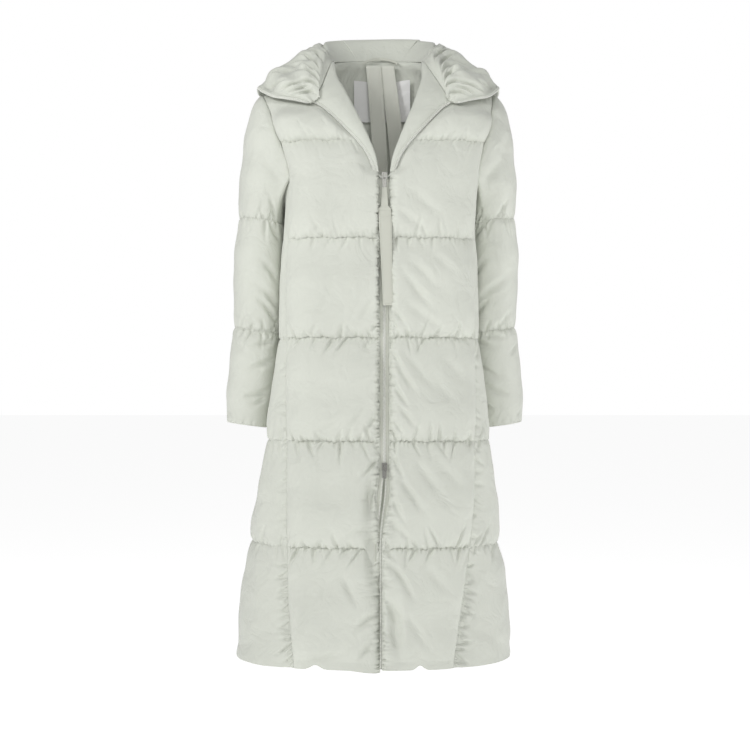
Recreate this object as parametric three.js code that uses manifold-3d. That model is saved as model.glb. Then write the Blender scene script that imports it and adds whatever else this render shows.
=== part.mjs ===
// A long hooded down coat in its worn, hollow form: zipped from the thigh to the chest, its hood down.
// Millimetres, +Z up, the front towards -Y, the wearer's left towards +X.
// The origin is the middle of the neck opening, at the height of the seam at the back of the neck.
import * as THREE from "three";
import { mergeVertices } from "three/addons/utils/BufferGeometryUtils.js";
import Module from "manifold-3d";

const wasm = await Module();
wasm.setup();

// Cloth
const WALL = 3; // shell, lining and flattened filling where they are stitched together
const SEAM_GAP = 0.3;
const BODY_PUFF = 13; // height of the filling over the stitching, in the middle of a body chamber
const SLEEVE_PUFF = 7;
const SIDE_PUFF_SHARE = 0.85;
const CHAMBER_SQUARE = 2.6; // how flat a chamber is in its middle, and how steeply it leaves its stitching
const CHAMBER_RISE = 0.62;
const ZIP_MARGIN = 4; // the filling starts this far from the zip, and is full after its run
const ZIP_RUN = 30;
const SEAM_RUN = 45;

// Heights of the stitching lines of the body, from the hem up
const HEM_Z = -1108;
const STITCH_Z = [HEM_Z, -900, -714, -532, -356, -181];
const CHEST_LINE = 4; // the highest stitching line under the armholes
const BODICE_Z = -240; // under this height the body is a closed ring, above it the armholes cut in
const CHAMBER_ROWS = [0, 0.12, 0.38, 0.65, 0.88];
const RISER_ROWS = [0, 0.2, 0.5, 0.78]; // from the chest line up to the bodice height

// The body's ring at some heights: half width, depths to front and back, squareness of the ring,
// half widths at which the front and back seams run, and how far the hanging arm presses the side in
const RINGS = [
  { z: -1108, half: 243, front: 172, back: 158, square: 2.6, frontSeam: 139, backSeam: 150, press: 0 },
  { z: -900, half: 223, front: 158, back: 144, square: 2.7, frontSeam: 160, backSeam: 160, press: 0 },
  { z: -714, half: 207, front: 147, back: 130, square: 3.0, frontSeam: 166, backSeam: 158, press: 23 },
  { z: -532, half: 186, front: 138, back: 118, square: 3.4, frontSeam: 166, backSeam: 152, press: 31 },
  { z: -356, half: 177, front: 132, back: 112, square: 4.2, frontSeam: 165, backSeam: 150, press: 21 },
  { z: -240, half: 170, front: 122, back: 106, square: 5.0, frontSeam: 163, backSeam: 150, press: 10 },
];
const PRESS_Y = 5; // the arm presses around this depth, as far as its reach to front and back
const PRESS_REACH = 88;
const PRESS_FLAT = 18; // where a side is pressed in this much, it keeps only the rest share of its filling
const PRESSED_REST = 0.15;

// Shoulder seam, from the side of the neck to the shoulder's tip, and the middle of the neck's back
const NECK_SIDE = { x: 80, y: 15, z: -18 };
const SHOULDER_TIP = { x: 212, y: 8, z: -82 };
const NECK_BACK = { y: 82, z: 0 };
const YOKE_SHARE = 0.4; // where the top stitching runs, between the bodice height and the shoulder
const COVERED_FROM = 0.6; // above this share the hood and lapels lie on the panels and flatten them
const COVERED_OVER = 0.2;
const CHEST_LEAN = 0.09; // the chest starts its turn inwards with the body's own slope
const UNDERARM_Z = -292;
const UNDERARM_FLARE = 8;

// The line on which the open top of the front rolls outwards, up to the side of the neck
const ROLL_LINE = [
  { v: 0, x: 8, z: -252 },
  { v: 0.2, x: 14, z: -214 },
  { v: 0.4, x: 26, z: -180 },
  { v: 0.55, x: 38, z: -150 },
  { v: 0.7, x: 53, z: -116 },
  { v: 0.82, x: 66, z: -84 },
  { v: 0.92, x: 77, z: -54 },
  { v: 1, x: 80, z: -18 },
];
const BODICE_ROWS = [0, 0.2, 0.4, 0.55, 0.7, 0.82, 0.92, 1];

// Zip: half width of the closed tapes, and how far each front draws back under the lower slider
const ZIP_HALF = 8;
const ZIP_OPENING = 3;
const ZIP_OPENING_RUN = 60;
const TAPE_WALL = 2;
const UPPER_SLIDER_Z = -247;
const LOWER_SLIDER_Z = -758;

// Lapel: for a height on the roll line, the place of its outer edge on the front panel (across, up)
const LAPEL = [
  { roll: 0.06, across: 0.03, up: 0.06 },
  { roll: 0.35, across: 0.11, up: 0.35 },
  { roll: 0.55, across: 0.23, up: 0.55 },
  { roll: 0.8, across: 0.34, up: 0.705 },
  { roll: 1, across: 0.43, up: 0.77 },
];
const LAPEL_WALL = 2.5;
const LAPEL_ROLL = 5;
const LAPEL_SEAT = 1.8; // how high its inside lies over the panel, except on the roll line
const LAPEL_SHARES = [0, 0.12, 0.3, 0.5, 0.7, 0.88, 1];
const LAPEL_FULL_WIDTH = 40; // a lapel this wide has its whole roll
const BESIDE_LAPEL = 0.2; // the share of the panel over which its filling rises beside the lapel

// Sleeve rings: middle and half sizes
const SLEEVE_RINGS = [
  { z: -316, x: 211, y: 14, halfX: 42, halfY: 78 },
  { z: -430, x: 212, y: 18, halfX: 45, halfY: 75 },
  { z: -517, x: 215, y: 21, halfX: 44, halfY: 69 },
  { z: -600, x: 222, y: 23, halfX: 43, halfY: 63 },
  { z: -690, x: 235, y: 25, halfX: 39, halfY: 56 },
];
const SLEEVE_SQUARE = 2.3;
const SLEEVE_STITCH_Z = [-316, -517, -690];
const SLEEVE_TILT = 0.14; // the outer side of a sleeve ring is higher than its inner side
const CAP_ROWS = [0, 0.1, 0.3, 0.5, 0.7, 0.9];
const CAP_REACH = 85; // how strongly the cap leaves the armhole sideways and arrives downwards
const CAP_SLOPE = 0.45;
const CAP_FALL = 150;
const CAP_HEIGHT = 180;
const CAP_FILLED = 120; // the cap has its whole filling this high above the underarm
const INNER_SLEEVE_SHARE = 0.35; // the filling on a sleeve's inner side, which the body flattens

// Hood: sections from the lapel's corner (s 0) over the shoulder to the middle of the back (s 1).
// Each starts at the neck, rolls over, drops, turns round as a pouch, and rises to its open edge.
const HOOD_CORNER = 0.36; // the section that starts at the side of the neck
const HOOD_SEAM = 0.78; // the section along which the side panel meets the middle one
const HOOD_SIDE_SPANS = 6; // spans of the side panel behind the corner
const HOOD_CENTRE_SPANS = 4;
const HOOD_STEPS = 18;
const HOOD_CLEAR = 0.8; // how far the hood starts beside, behind and above the lapel's top edge
const HOOD_FOLDS = 3;
const HOOD_FOLD_HEIGHT = 4.5;
const HOOD_FOLDED_TO = 0.62; // the folds fan out as far as this section
const HOOD_ROLL = [
  { s: 0, x: 114, y: -80, z: -100 },
  { s: 0.18, x: 116, y: -54, z: -50 },
  { s: 0.36, x: 110, y: 4, z: 3 },
  { s: 0.55, x: 115, y: 52, z: 28 },
  { s: 0.75, x: 84, y: 98, z: 44 },
  { s: 1, x: 0, y: 112, z: 48 },
];
const HOOD_DROP = [
  { s: 0, x: 117, y: -82, z: -102 },
  { s: 0.18, x: 134, y: -62, z: -56 },
  { s: 0.36, x: 138, y: 2, z: -5 },
  { s: 0.55, x: 142, y: 72, z: 14 },
  { s: 0.75, x: 96, y: 130, z: -14 },
  { s: 1, x: 0, y: 135, z: -60 },
];
const HOOD_POUCH = [
  { s: 0, x: 122, y: -82, z: -106 },
  { s: 0.18, x: 154, y: -66, z: -70 },
  { s: 0.36, x: 168, y: -2, z: -24 },
  { s: 0.55, x: 174, y: 85, z: -22 },
  { s: 0.75, x: 112, y: 152, z: -165 },
  { s: 1, x: 0, y: 150, z: -228 },
];
const HOOD_RISE = [
  { s: 0, x: 126, y: -84, z: -108 },
  { s: 0.18, x: 172, y: -66, z: -86 },
  { s: 0.36, x: 200, y: -8, z: -44 },
  { s: 0.55, x: 205, y: 82, z: -50 },
  { s: 0.75, x: 142, y: 190, z: -118 },
  { s: 1, x: 0, y: 208, z: -150 },
];
const HOOD_EDGE = [
  { s: 0, x: 130, y: -86, z: -110 },
  { s: 0.18, x: 188, y: -62, z: -102 },
  { s: 0.36, x: 220, y: -16, z: -68 },
  { s: 0.55, x: 222, y: 62, z: -74 },
  { s: 0.75, x: 176, y: 158, z: -60 },
  { s: 1, x: 0, y: 200, z: -48 },
];

// Inside the neck: the loop, the blank label and the two carrying straps
const LOOP = { from: -32, to: 34, rise: 9, width: 5, wall: 1.6, drop: 4, clear: 0.9, steps: 12 };
const LABEL = { left: -49, right: 58, top: -38, bottom: -114, wall: 1, stitched: 1.7, clear: 2.4 };
const STRAP = { width: 38, wall: 1.6, drop: 12, rows: 10 };
const STRAPS = [
  { name: "inner_strap_r", topX: 0, lowX: 0, clear: 0.9, lowZ: -470 },
  { name: "inner_strap_l", topX: 24, lowX: 31, clear: 3, lowZ: -455 },
];

// Sliders, their pull tabs, and the ribbon on the upper one
const SLIDER = { width: 9.5, height: 13, plate: 2.4, clear: 0.3 };
const CROWN = { width: 3, height: 9.5, reach: 4.2, windowHeight: 6.2, windowReach: 2.8 };
const TAB = {
  width: 7.4,
  length: 19,
  thick: 1.2,
  corner: 1.6,
  holeWidth: 4,
  holeLength: 4.2,
  eye: 1.3,
  play: 0.5,
};
const RIBBON = [
  { z: -267.6, half: 4, lean: 0, proud: 3.8 },
  { z: -281, half: 5, lean: 0, proud: 5.5 },
  { z: -301, half: 6, lean: 0.5, proud: 8 },
  { z: -306, half: 11, lean: 0.6, proud: 9 },
  { z: -356, half: 10.5, lean: 2.4, proud: 10 },
  { z: -420, half: 9.5, lean: 4.5, proud: 10 },
  { z: -476, half: 9, lean: 6.5, proud: 10 },
];
const RIBBON_WALL = 1.6;

// How the garment hangs: the front is a little to the left, the sides a little to the right
const FRONT_SWAY = 11;
const HEM_FRONT_SWAY = 5;
const HEM_SWAY_RUN = 120; // under the lower slider the front comes back over this height
const SEAM_SWAY = 5; // the front seams' own sway, which turns the other way towards the hem
const HEM_SEAM_SWAY = -8;
const SEAM_SWAY_RUN = 350;
const SEAM_REACH = 150;
const BACK_SWAY = 4;
const SIDE_SWAY = -7;
const SWAY_TOP_Z = -100; // the sides start to sway here, and do so fully after their run
const SWAY_RUN = 500;
const FRONT_DEPTH = 120; // the front's sway is whole at this depth, and the back's at its own
const BACK_DEPTH = 100;

const lerp = (a, b, t) => a + (b - a) * t;
const clamp01 = (t) => Math.min(1, Math.max(0, t));
const ease = (t) => clamp01(t) ** 2 * (3 - 2 * clamp01(t));
const point = (x, y, z) => new THREE.Vector3(x, y, z);
const steps = (count) => Array.from({ length: count + 1 }, (_, i) => i / count);

// A smooth curve through a table's rows, read where the column called key has the given value
function read(table, key, value) {
  const rows = table[table.length - 1][key] > table[0][key] ? table : [...table].reverse();
  let i = 0;
  while (i < rows.length - 2 && value > rows[i + 1][key]) i += 1;
  const before = rows[Math.max(i - 1, 0)];
  const after = rows[Math.min(i + 2, rows.length - 1)];
  const [a, b] = [rows[i], rows[i + 1]];
  const span = b[key] - a[key];
  const t = clamp01((value - a[key]) / span);
  const out = { [key]: value };
  for (const column of Object.keys(a).filter((name) => name !== key)) {
    const slopeA = ((b[column] - before[column]) / (b[key] - before[key])) * span;
    const slopeB = ((after[column] - a[column]) / (after[key] - a[key])) * span;
    out[column] =
      (2 * t ** 3 - 3 * t ** 2 + 1) * a[column] +
      (t ** 3 - 2 * t ** 2 + t) * slopeA +
      (3 * t ** 2 - 2 * t ** 3) * b[column] +
      (t ** 3 - t ** 2) * slopeB;
  }
  return out;
}
function readPoint(table, key, value) {
  const row = read(table, key, value);
  return point(row.x, row.y, row.z);
}

// Height of the filling: nothing on a stitching line, rounded between two, f from one to the next
const chamber = (f) => (1 - Math.abs(2 * clamp01(f) - 1) ** CHAMBER_SQUARE) ** CHAMBER_RISE;
const swell = (distance, margin, run) => Math.sqrt(1 - (1 - clamp01((distance - margin) / run)) ** 2);

// Body under the armholes, on the wearer's left; a ring's angle is -90 degrees at the front
function ringDepth(x, ring, depth) {
  return depth * (1 - clamp01(x / ring.half) ** ring.square) ** (1 / ring.square);
}
const pressedAt = (y) => Math.max(0, 1 - ((y - PRESS_Y) / PRESS_REACH) ** 2) ** 2;
function ringPoint(angle, z) {
  const ring = read(RINGS, "z", z);
  const depth = angle < 0 ? ring.front : ring.back;
  const c = Math.abs(Math.cos(angle)) / ring.half;
  const s = Math.abs(Math.sin(angle)) / depth;
  const radius = (c ** ring.square + s ** ring.square) ** (-1 / ring.square);
  const y = radius * Math.sin(angle);
  return point(radius * Math.cos(angle) - ring.press * pressedAt(y), y, z);
}
function seamAngle(z, front) {
  const ring = read(RINGS, "z", z);
  const x = front ? ring.frontSeam : ring.backSeam;
  return Math.atan2(ringDepth(x, ring, front ? -ring.front : ring.back), x);
}
const zipEdge = (z) => ZIP_HALF + ZIP_OPENING * ease((LOWER_SLIDER_Z - z) / ZIP_OPENING_RUN);
function frontAt(x, z) {
  const ring = read(RINGS, "z", z);
  return point(x, -ringDepth(x, ring, ring.front), z);
}

// Body beside the armholes: v goes from the bodice height to the shoulder seam
const bodiceRing = read(RINGS, "z", BODICE_Z);
const turnIn = (v) => 1 - Math.sqrt(1 - clamp01(v) ** 2) + CHEST_LEAN * v * (1 - v) ** 2;
function bodiceZ(v, top) {
  const line = STITCH_Z[CHEST_LINE + 1];
  return v <= YOKE_SHARE
    ? lerp(BODICE_Z, line, v / YOKE_SHARE)
    : lerp(line, top, (v - YOKE_SHARE) / (1 - YOKE_SHARE));
}
function frontBodice(u, v) {
  const roll = read(ROLL_LINE, "v", v);
  const x = lerp(roll.x, lerp(bodiceRing.frontSeam, SHOULDER_TIP.x, v), u);
  const low = -ringDepth(lerp(ZIP_HALF, bodiceRing.frontSeam, u), bodiceRing, bodiceRing.front);
  const top = lerp(NECK_SIDE.y, SHOULDER_TIP.y, u);
  return point(x, lerp(low, top, turnIn(v)), lerp(roll.z, bodiceZ(v, SHOULDER_TIP.z), u));
}
function backTop(x) {
  const out = clamp01((x - NECK_SIDE.x) / (SHOULDER_TIP.x - NECK_SIDE.x));
  const round = Math.sqrt(1 - clamp01(x / NECK_SIDE.x) ** 2);
  const y = out > 0 ? lerp(NECK_SIDE.y, SHOULDER_TIP.y, out) : lerp(NECK_SIDE.y, NECK_BACK.y, round);
  const z = out > 0 ? lerp(NECK_SIDE.z, SHOULDER_TIP.z, out) : lerp(NECK_SIDE.z, NECK_BACK.z, round);
  return point(x, y, z);
}
function backBodice(u, v) {
  const top = backTop(u * SHOULDER_TIP.x);
  const low = ringDepth(u * bodiceRing.backSeam, bodiceRing, bodiceRing.back);
  const x = u * lerp(bodiceRing.backSeam, SHOULDER_TIP.x, v);
  return point(x, lerp(low, top.y, turnIn(v)), bodiceZ(v, top.z));
}
const chestSpan = STITCH_Z[CHEST_LINE + 1] - STITCH_Z[CHEST_LINE];
const riserChamber = (r) => chamber((r * (BODICE_Z - STITCH_Z[CHEST_LINE])) / chestSpan);
function bodiceChamber(v) {
  const start = (BODICE_Z - STITCH_Z[CHEST_LINE]) / chestSpan;
  const f = v <= YOKE_SHARE ? lerp(start, 1, v / YOKE_SHARE) : (v - YOKE_SHARE) / (1 - YOKE_SHARE);
  return chamber(f) * (1 - ease((v - COVERED_FROM) / COVERED_OVER));
}

// A grid is rows of points; its normals point to the right of its columns, seen along its rows
function normalsOf(grid, loop) {
  return grid.map((row, i) =>
    row.map((_, j) => {
      const last = row.length - 1;
      const up = grid[Math.min(i + 1, grid.length - 1)][j].clone().sub(grid[Math.max(i - 1, 0)][j]);
      const next = loop ? row[(j + 1) % row.length] : row[Math.min(j + 1, last)];
      const before = loop ? row[(j + last) % row.length] : row[Math.max(j - 1, 0)];
      return next.clone().sub(before).cross(up).normalize();
    }),
  );
}
const moved = (grid, normals, distance) =>
  grid.map((row, i) => row.map((p, j) => p.clone().addScaledVector(normals[i][j], distance(i, j))));
const mirrored = (grid) => grid.map((row) => row.map((p) => point(-p.x, p.y, p.z)));
function inset(grid, sides) {
  const end = grid.length - 1;
  const last = grid[0].length - 1;
  const pulled = grid.map((row) => row.map((p) => p.clone()));
  const pull = (p, towards, from) => p.addScaledVector(towards.clone().sub(from).normalize(), SEAM_GAP / 2);
  grid.forEach((row, i) => {
    if (sides.includes("start")) pull(pulled[i][0], row[1], row[0]);
    if (sides.includes("finish")) pull(pulled[i][last], row[last - 1], row[last]);
  });
  grid[0].forEach((_, j) => {
    if (sides.includes("bottom")) pull(pulled[0][j], grid[1][j], grid[0][j]);
    if (sides.includes("top")) pull(pulled[end][j], grid[end - 1][j], grid[end][j]);
  });
  return pulled;
}

// A closed wall between an outer and an inner grid; a loop's rows close on themselves
function wallGeometry(outer, inner, loop) {
  const places = [];
  const quad = (a, b, c, d) => {
    for (const p of [a, b, c, a, c, d]) places.push(p.x, p.y, p.z);
  };
  // Both pieces at a seam cut its rim along the shorter diagonals, so that the rims fit each other.
  const rim = (a, b, c, d) => {
    if (a.distanceTo(c) < b.distanceTo(d)) quad(a, b, c, d);
    else quad(b, c, d, a);
  };
  const top = outer.length - 1;
  const end = outer[0].length - 1;
  for (let j = 0; j < (loop ? end + 1 : end); j += 1) {
    const k = (j + 1) % (end + 1);
    for (let i = 0; i < top; i += 1) {
      quad(outer[i][j], outer[i][k], outer[i + 1][k], outer[i + 1][j]);
      quad(inner[i][j], inner[i + 1][j], inner[i + 1][k], inner[i][k]);
    }
    rim(outer[0][k], outer[0][j], inner[0][j], inner[0][k]);
    rim(outer[top][j], outer[top][k], inner[top][k], inner[top][j]);
  }
  for (let i = 0; i < top && !loop; i += 1) {
    rim(outer[i][0], outer[i + 1][0], inner[i + 1][0], inner[i][0]);
    rim(outer[i + 1][end], outer[i][end], inner[i][end], inner[i + 1][end]);
  }
  const geometry = new THREE.BufferGeometry();
  geometry.setAttribute("position", new THREE.Float32BufferAttribute(places, 3));
  return mergeVertices(geometry, 1e-3);
}

// The hanging garment's sway, the same for every piece
function sway(p) {
  const down = ease((SWAY_TOP_Z - p.z) / SWAY_RUN);
  const atZip = lerp(FRONT_SWAY, HEM_FRONT_SWAY, ease((LOWER_SLIDER_Z - p.z) / HEM_SWAY_RUN));
  const low = lerp(HEM_SEAM_SWAY, SEAM_SWAY, ease((p.z - HEM_Z) / SEAM_SWAY_RUN));
  const upChest = (p.z - STITCH_Z[CHEST_LINE]) / (BODICE_Z - STITCH_Z[CHEST_LINE]);
  const atSeam = lerp(low, FRONT_SWAY, ease(upChest));
  const front = lerp(atZip, atSeam, ease(Math.abs(p.x) / SEAM_REACH));
  const behind = lerp(SIDE_SWAY * down, BACK_SWAY * (1 - down), ease(p.y / BACK_DEPTH));
  return point(p.x + lerp(behind, front, ease(-p.y / FRONT_DEPTH)), p.y, p.z);
}

const FINISH = {
  shell: { color: 0xd6d9cd, roughness: 0.6, metalness: 0 },
  lining: { color: 0xd3d6c9, roughness: 0.5, metalness: 0 },
  tape: { color: 0xbfc2b4, roughness: 0.8, metalness: 0 },
  metal: { color: 0xa8a9a4, roughness: 0.3, metalness: 1 },
  label: { color: 0xf0f0ec, roughness: 0.7, metalness: 0 },
};
const coat = new THREE.Group();
function addPiece(name, geometry, finish) {
  const places = geometry.getAttribute("position");
  const corner = (i) => point(0, 0, 0).fromBufferAttribute(places, i);
  for (let i = 0; i < places.count; i += 1) {
    const q = sway(corner(i));
    places.setXYZ(i, q.x, q.y, q.z);
  }
  const order = Array.from(geometry.index.array);
  let volume = 0;
  for (let i = 0; i < order.length; i += 3)
    volume += corner(order[i]).dot(corner(order[i + 1]).cross(corner(order[i + 2])));
  if (volume < 0) order.reverse();
  geometry.setIndex(order);
  geometry.computeVertexNormals();
  const mesh = new THREE.Mesh(geometry, new THREE.MeshStandardMaterial(FINISH[finish]));
  mesh.name = name;
  coat.add(mesh);
}
function addWall(name, outer, inner, { sides = [], finish = "shell", loop = false } = {}) {
  addPiece(name, wallGeometry(inset(outer, sides), inset(inner, sides), loop), finish);
}
function addPair(name, outer, inner, look) {
  addWall(`${name}_l`, outer, inner, look);
  addWall(`${name}_r`, mirrored(outer), mirrored(inner), look);
}

// Heights of a panel's rows under the armholes, each with its place in its chamber
const lowRows = STITCH_Z.slice(0, CHEST_LINE).flatMap((z, c) =>
  CHAMBER_ROWS.map((f) => ({ z: lerp(z, STITCH_Z[c + 1], f), f })),
);

// Front panel: from the zip to the front seam and the armhole, from the hem to the shoulder
function frontPanel() {
  const grid = [];
  const filling = [];
  const add = (place, height) => {
    const width = place(0).distanceTo(place(1));
    const shares = [0, 6 / width, 14 / width, 32 / width, 0.42, 0.62, 0.8, 0.92, 1];
    grid.push(shares.map(place));
    const edges = (u) => swell(u * width, ZIP_MARGIN, ZIP_RUN) * swell((1 - u) * width, 0, SEAM_RUN);
    filling.push(shares.map((u) => height(u) * edges(u)));
  };
  for (const { z, f } of lowRows)
    add((u) => frontAt(lerp(zipEdge(z), read(RINGS, "z", z).frontSeam, u), z), () => chamber(f));
  for (const r of RISER_ROWS) {
    const place = (u) => {
      const z = lerp(STITCH_Z[CHEST_LINE], lerp(ROLL_LINE[0].z, BODICE_Z, u), r);
      return frontAt(lerp(ZIP_HALF, read(RINGS, "z", z).frontSeam, u), z);
    };
    add(place, () => riserChamber(r));
  }
  for (const v of BODICE_ROWS) {
    const under = read(LAPEL, "up", Math.min(v, LAPEL[LAPEL.length - 1].up)).across;
    add((u) => frontBodice(u, v), (u) => bodiceChamber(v) * ease((u - under) / BESIDE_LAPEL));
  }
  return { grid, filling };
}

// Side panel: from the front seam round under the arm to the back seam
function sidePanel() {
  const shares = [0, 0.1, 0.25, 0.42, 0.58, 0.75, 0.9, 1];
  const bulge = (s) => clamp01(Math.sin(Math.PI * s));
  const place = (z, s) => ringPoint(lerp(seamAngle(z, true), seamAngle(z, false), s), z);
  const grid = lowRows.map(({ z }) => shares.map((s) => place(z, s)));
  const filling = lowRows.map(({ z, f }, i) => {
    const press = read(RINGS, "z", z).press;
    const kept = grid[i].map((p) => lerp(1, PRESSED_REST, clamp01((press * pressedAt(p.y)) / PRESS_FLAT)));
    return shares.map((s, j) => SIDE_PUFF_SHARE * kept[j] * chamber(f) * bulge(s) ** 1.2);
  });
  for (const r of [...RISER_ROWS, 1]) {
    grid.push(
      shares.map((s) => {
        const top = lerp(BODICE_Z, UNDERARM_Z, bulge(s) ** 0.8);
        const p = place(lerp(STITCH_Z[CHEST_LINE], top, r), s);
        return p.add(point(UNDERARM_FLARE * r ** 3 * bulge(s), 0, 0));
      }),
    );
    filling.push(shares.map(() => 0));
  }
  return { grid, filling };
}

// Back panel: the half from the wearer's left seam to the middle of the back
function halfBackPanel() {
  const shares = [1, 0.9, 0.7, NECK_SIDE.x / SHOULDER_TIP.x, 0.19, 0];
  const grid = [];
  const filling = [];
  const add = (place, height) => {
    grid.push(shares.map(place));
    filling.push(shares.map((u) => height * swell((1 - u) * bodiceRing.backSeam, 0, SEAM_RUN)));
  };
  const low = (z) => (u) => {
    const ring = read(RINGS, "z", z);
    return point(u * ring.backSeam, ringDepth(u * ring.backSeam, ring, ring.back), z);
  };
  for (const { z, f } of lowRows) add(low(z), chamber(f));
  for (const r of RISER_ROWS) add(low(lerp(STITCH_Z[CHEST_LINE], BODICE_Z, r)), riserChamber(r));
  for (const v of BODICE_ROWS) add((u) => backBodice(u, v), bodiceChamber(v));
  return { grid, filling };
}

const front = frontPanel();
const side = sidePanel();
const back = halfBackPanel();
const bodiceStart = lowRows.length + RISER_ROWS.length;
const topRow = front.grid.length - 1;
const frontLast = front.grid[0].length - 1;
const sideLast = side.grid[0].length - 1;
for (const panel of [front, side, back]) panel.normals = normalsOf(panel.grid, false);
for (const row of back.normals) row[row.length - 1].setX(0).normalize();

// Armhole: down the front edge from the shoulder's tip, back under the arm, and up the back edge
const armhole = [];
for (let i = topRow; i >= bodiceStart; i -= 1) armhole.push({ panel: front, row: i, column: frontLast });
for (let j = 1; j < sideLast; j += 1) armhole.push({ panel: side, row: bodiceStart, column: j });
for (let i = bodiceStart; i < topRow; i += 1) armhole.push({ panel: back, row: i, column: 0 });
const armholePoints = armhole.map(({ panel, row, column }) => panel.grid[row][column]);

// Each armhole point's angle on the sleeve's rings, 0 outermost, by its distance along the armhole
function armholeAngles() {
  const count = armholePoints.length;
  const travelled = [0];
  for (let i = 1; i <= count; i += 1)
    travelled.push(travelled[i - 1] + armholePoints[i % count].distanceTo(armholePoints[i - 1]));
  const underArm = topRow - bodiceStart + sideLast / 2;
  const middle = (travelled[Math.floor(underArm)] + travelled[Math.ceil(underArm)]) / 2;
  return armholePoints.map((_, i) =>
    travelled[i] < middle
      ? (Math.PI * travelled[i]) / middle
      : Math.PI * (1 + (travelled[i] - middle) / (travelled[count] - middle)),
  );
}
const angles = armholeAngles();
function sleevePoint(angle, z) {
  const ring = read(SLEEVE_RINGS, "z", z);
  const c = Math.cos(angle);
  const s = -Math.sin(angle);
  const power = 2 / SLEEVE_SQUARE;
  const x = ring.halfX * Math.sign(c) * Math.abs(c) ** power;
  const y = ring.halfY * Math.sign(s) * Math.abs(s) ** power;
  return point(ring.x + x, ring.y + y, z + SLEEVE_TILT * x);
}

// Sleeve: the cap curves from the armhole outwards and down to the first ring, and rings follow
function sleeve() {
  const grid = [];
  const filling = [];
  for (const t of CAP_ROWS) {
    grid.push(
      armholePoints.map((start, j) => {
        const end = sleevePoint(angles[j], SLEEVE_RINGS[0].z);
        const share = Math.min(1, (start.z - end.z) / CAP_HEIGHT);
        return start
          .clone()
          .multiplyScalar(2 * t ** 3 - 3 * t ** 2 + 1)
          .addScaledVector(point(1, 0, -CAP_SLOPE), CAP_REACH * share * (t ** 3 - 2 * t ** 2 + t))
          .addScaledVector(end, 3 * t ** 2 - 2 * t ** 3)
          .addScaledVector(point(0, 0, -1), CAP_FALL * share * (t ** 3 - t ** 2));
      }),
    );
    filling.push(armholePoints.map((p) => chamber(t) * clamp01((p.z - UNDERARM_Z) / CAP_FILLED)));
  }
  for (let c = 0; c < SLEEVE_STITCH_Z.length - 1; c += 1)
    for (const f of c === 0 ? CHAMBER_ROWS : [...CHAMBER_ROWS, 1]) {
      const z = lerp(SLEEVE_STITCH_Z[c], SLEEVE_STITCH_Z[c + 1], f);
      grid.push(angles.map((angle) => sleevePoint(angle, z)));
      const free = (angle) => lerp(INNER_SLEEVE_SHARE, 1, (1 + Math.cos(angle)) / 2);
      filling.push(angles.map((angle) => chamber(f) * free(angle)));
    }
  return { grid, filling, normals: normalsOf(grid, true) };
}
const arm = sleeve();

// Pieces that meet at a seam share the direction of their walls there, so that their edges are flat
function share(...places) {
  const sum = point(0, 0, 0);
  for (const { panel, row, column } of places) sum.add(panel.normals[row][column]);
  sum.normalize();
  for (const { panel, row, column } of places) panel.normals[row][column] = sum.clone();
}
for (let i = 0; i < bodiceStart; i += 1) {
  share({ panel: front, row: i, column: frontLast }, { panel: side, row: i, column: 0 });
  share({ panel: side, row: i, column: sideLast }, { panel: back, row: i, column: 0 });
}
const shoulderRun = { x: SHOULDER_TIP.x - NECK_SIDE.x, z: SHOULDER_TIP.z - NECK_SIDE.z };
const shoulderUp = point(-shoulderRun.z, 0, shoulderRun.x).normalize();
for (const panel of [front, back])
  panel.grid[topRow].forEach((p, j) => {
    if (p.x >= NECK_SIDE.x) panel.normals[topRow][j] = shoulderUp.clone();
  });
armhole.forEach((place, j) => {
  const together = [place, { panel: arm, row: 0, column: j }];
  if (place.panel === front && place.row === bodiceStart)
    together.push({ panel: side, row: bodiceStart, column: 0 });
  if (place.panel === back && place.row === bodiceStart)
    together.push({ panel: side, row: bodiceStart, column: sideLast });
  if (place.panel === front && place.row === topRow) together.push({ panel: back, row: topRow, column: 0 });
  share(...together);
});

const outerOf = (panel, height) => moved(panel.grid, panel.normals, (i, j) => panel.filling[i][j] * height);
const innerOf = (panel) => moved(panel.grid, panel.normals, () => -WALL);
addPair("front_panel", outerOf(front, BODY_PUFF), innerOf(front), { sides: ["finish", "top"] });
addPair("side_panel", outerOf(side, BODY_PUFF), innerOf(side), { sides: ["start", "finish", "top"] });
const wholeBack = (half) => half.map((row, i) => [...row, ...mirrored(half)[i].slice(0, -1).reverse()]);
addWall("back_panel", wholeBack(outerOf(back, BODY_PUFF)), wholeBack(innerOf(back)), {
  sides: ["start", "finish", "top"],
});
addPair("sleeve", outerOf(arm, SLEEVE_PUFF), innerOf(arm), { sides: ["bottom"], loop: true });

// Lapel: lies on the front panel from the roll line to its own outer edge
function frontOut(u, v) {
  const step = 0.01;
  const high = Math.min(v + step, 1);
  const right = frontBodice(u + step, v).sub(frontBodice(u, v));
  return right.cross(frontBodice(u, high).sub(frontBodice(u, high - step))).normalize();
}
function lapelPlace(roll, t) {
  const edge = read(LAPEL, "roll", roll);
  return [lerp(0, edge.across, t), lerp(roll, edge.up, t)];
}
const lapelOut = (roll, t) => frontOut(...lapelPlace(roll, t));
function lapelPoint(roll, t, lift) {
  const width = frontBodice(0, roll).distanceTo(frontBodice(...lapelPlace(roll, 1)));
  const bulge = LAPEL_ROLL * Math.min(1, width / LAPEL_FULL_WIDTH) * Math.sin(Math.PI * t) ** 0.7;
  const seat = lerp(SEAM_GAP, LAPEL_SEAT, ease(t / 0.12));
  return frontBodice(...lapelPlace(roll, t)).addScaledVector(lapelOut(roll, t), seat + bulge + lift);
}
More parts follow.
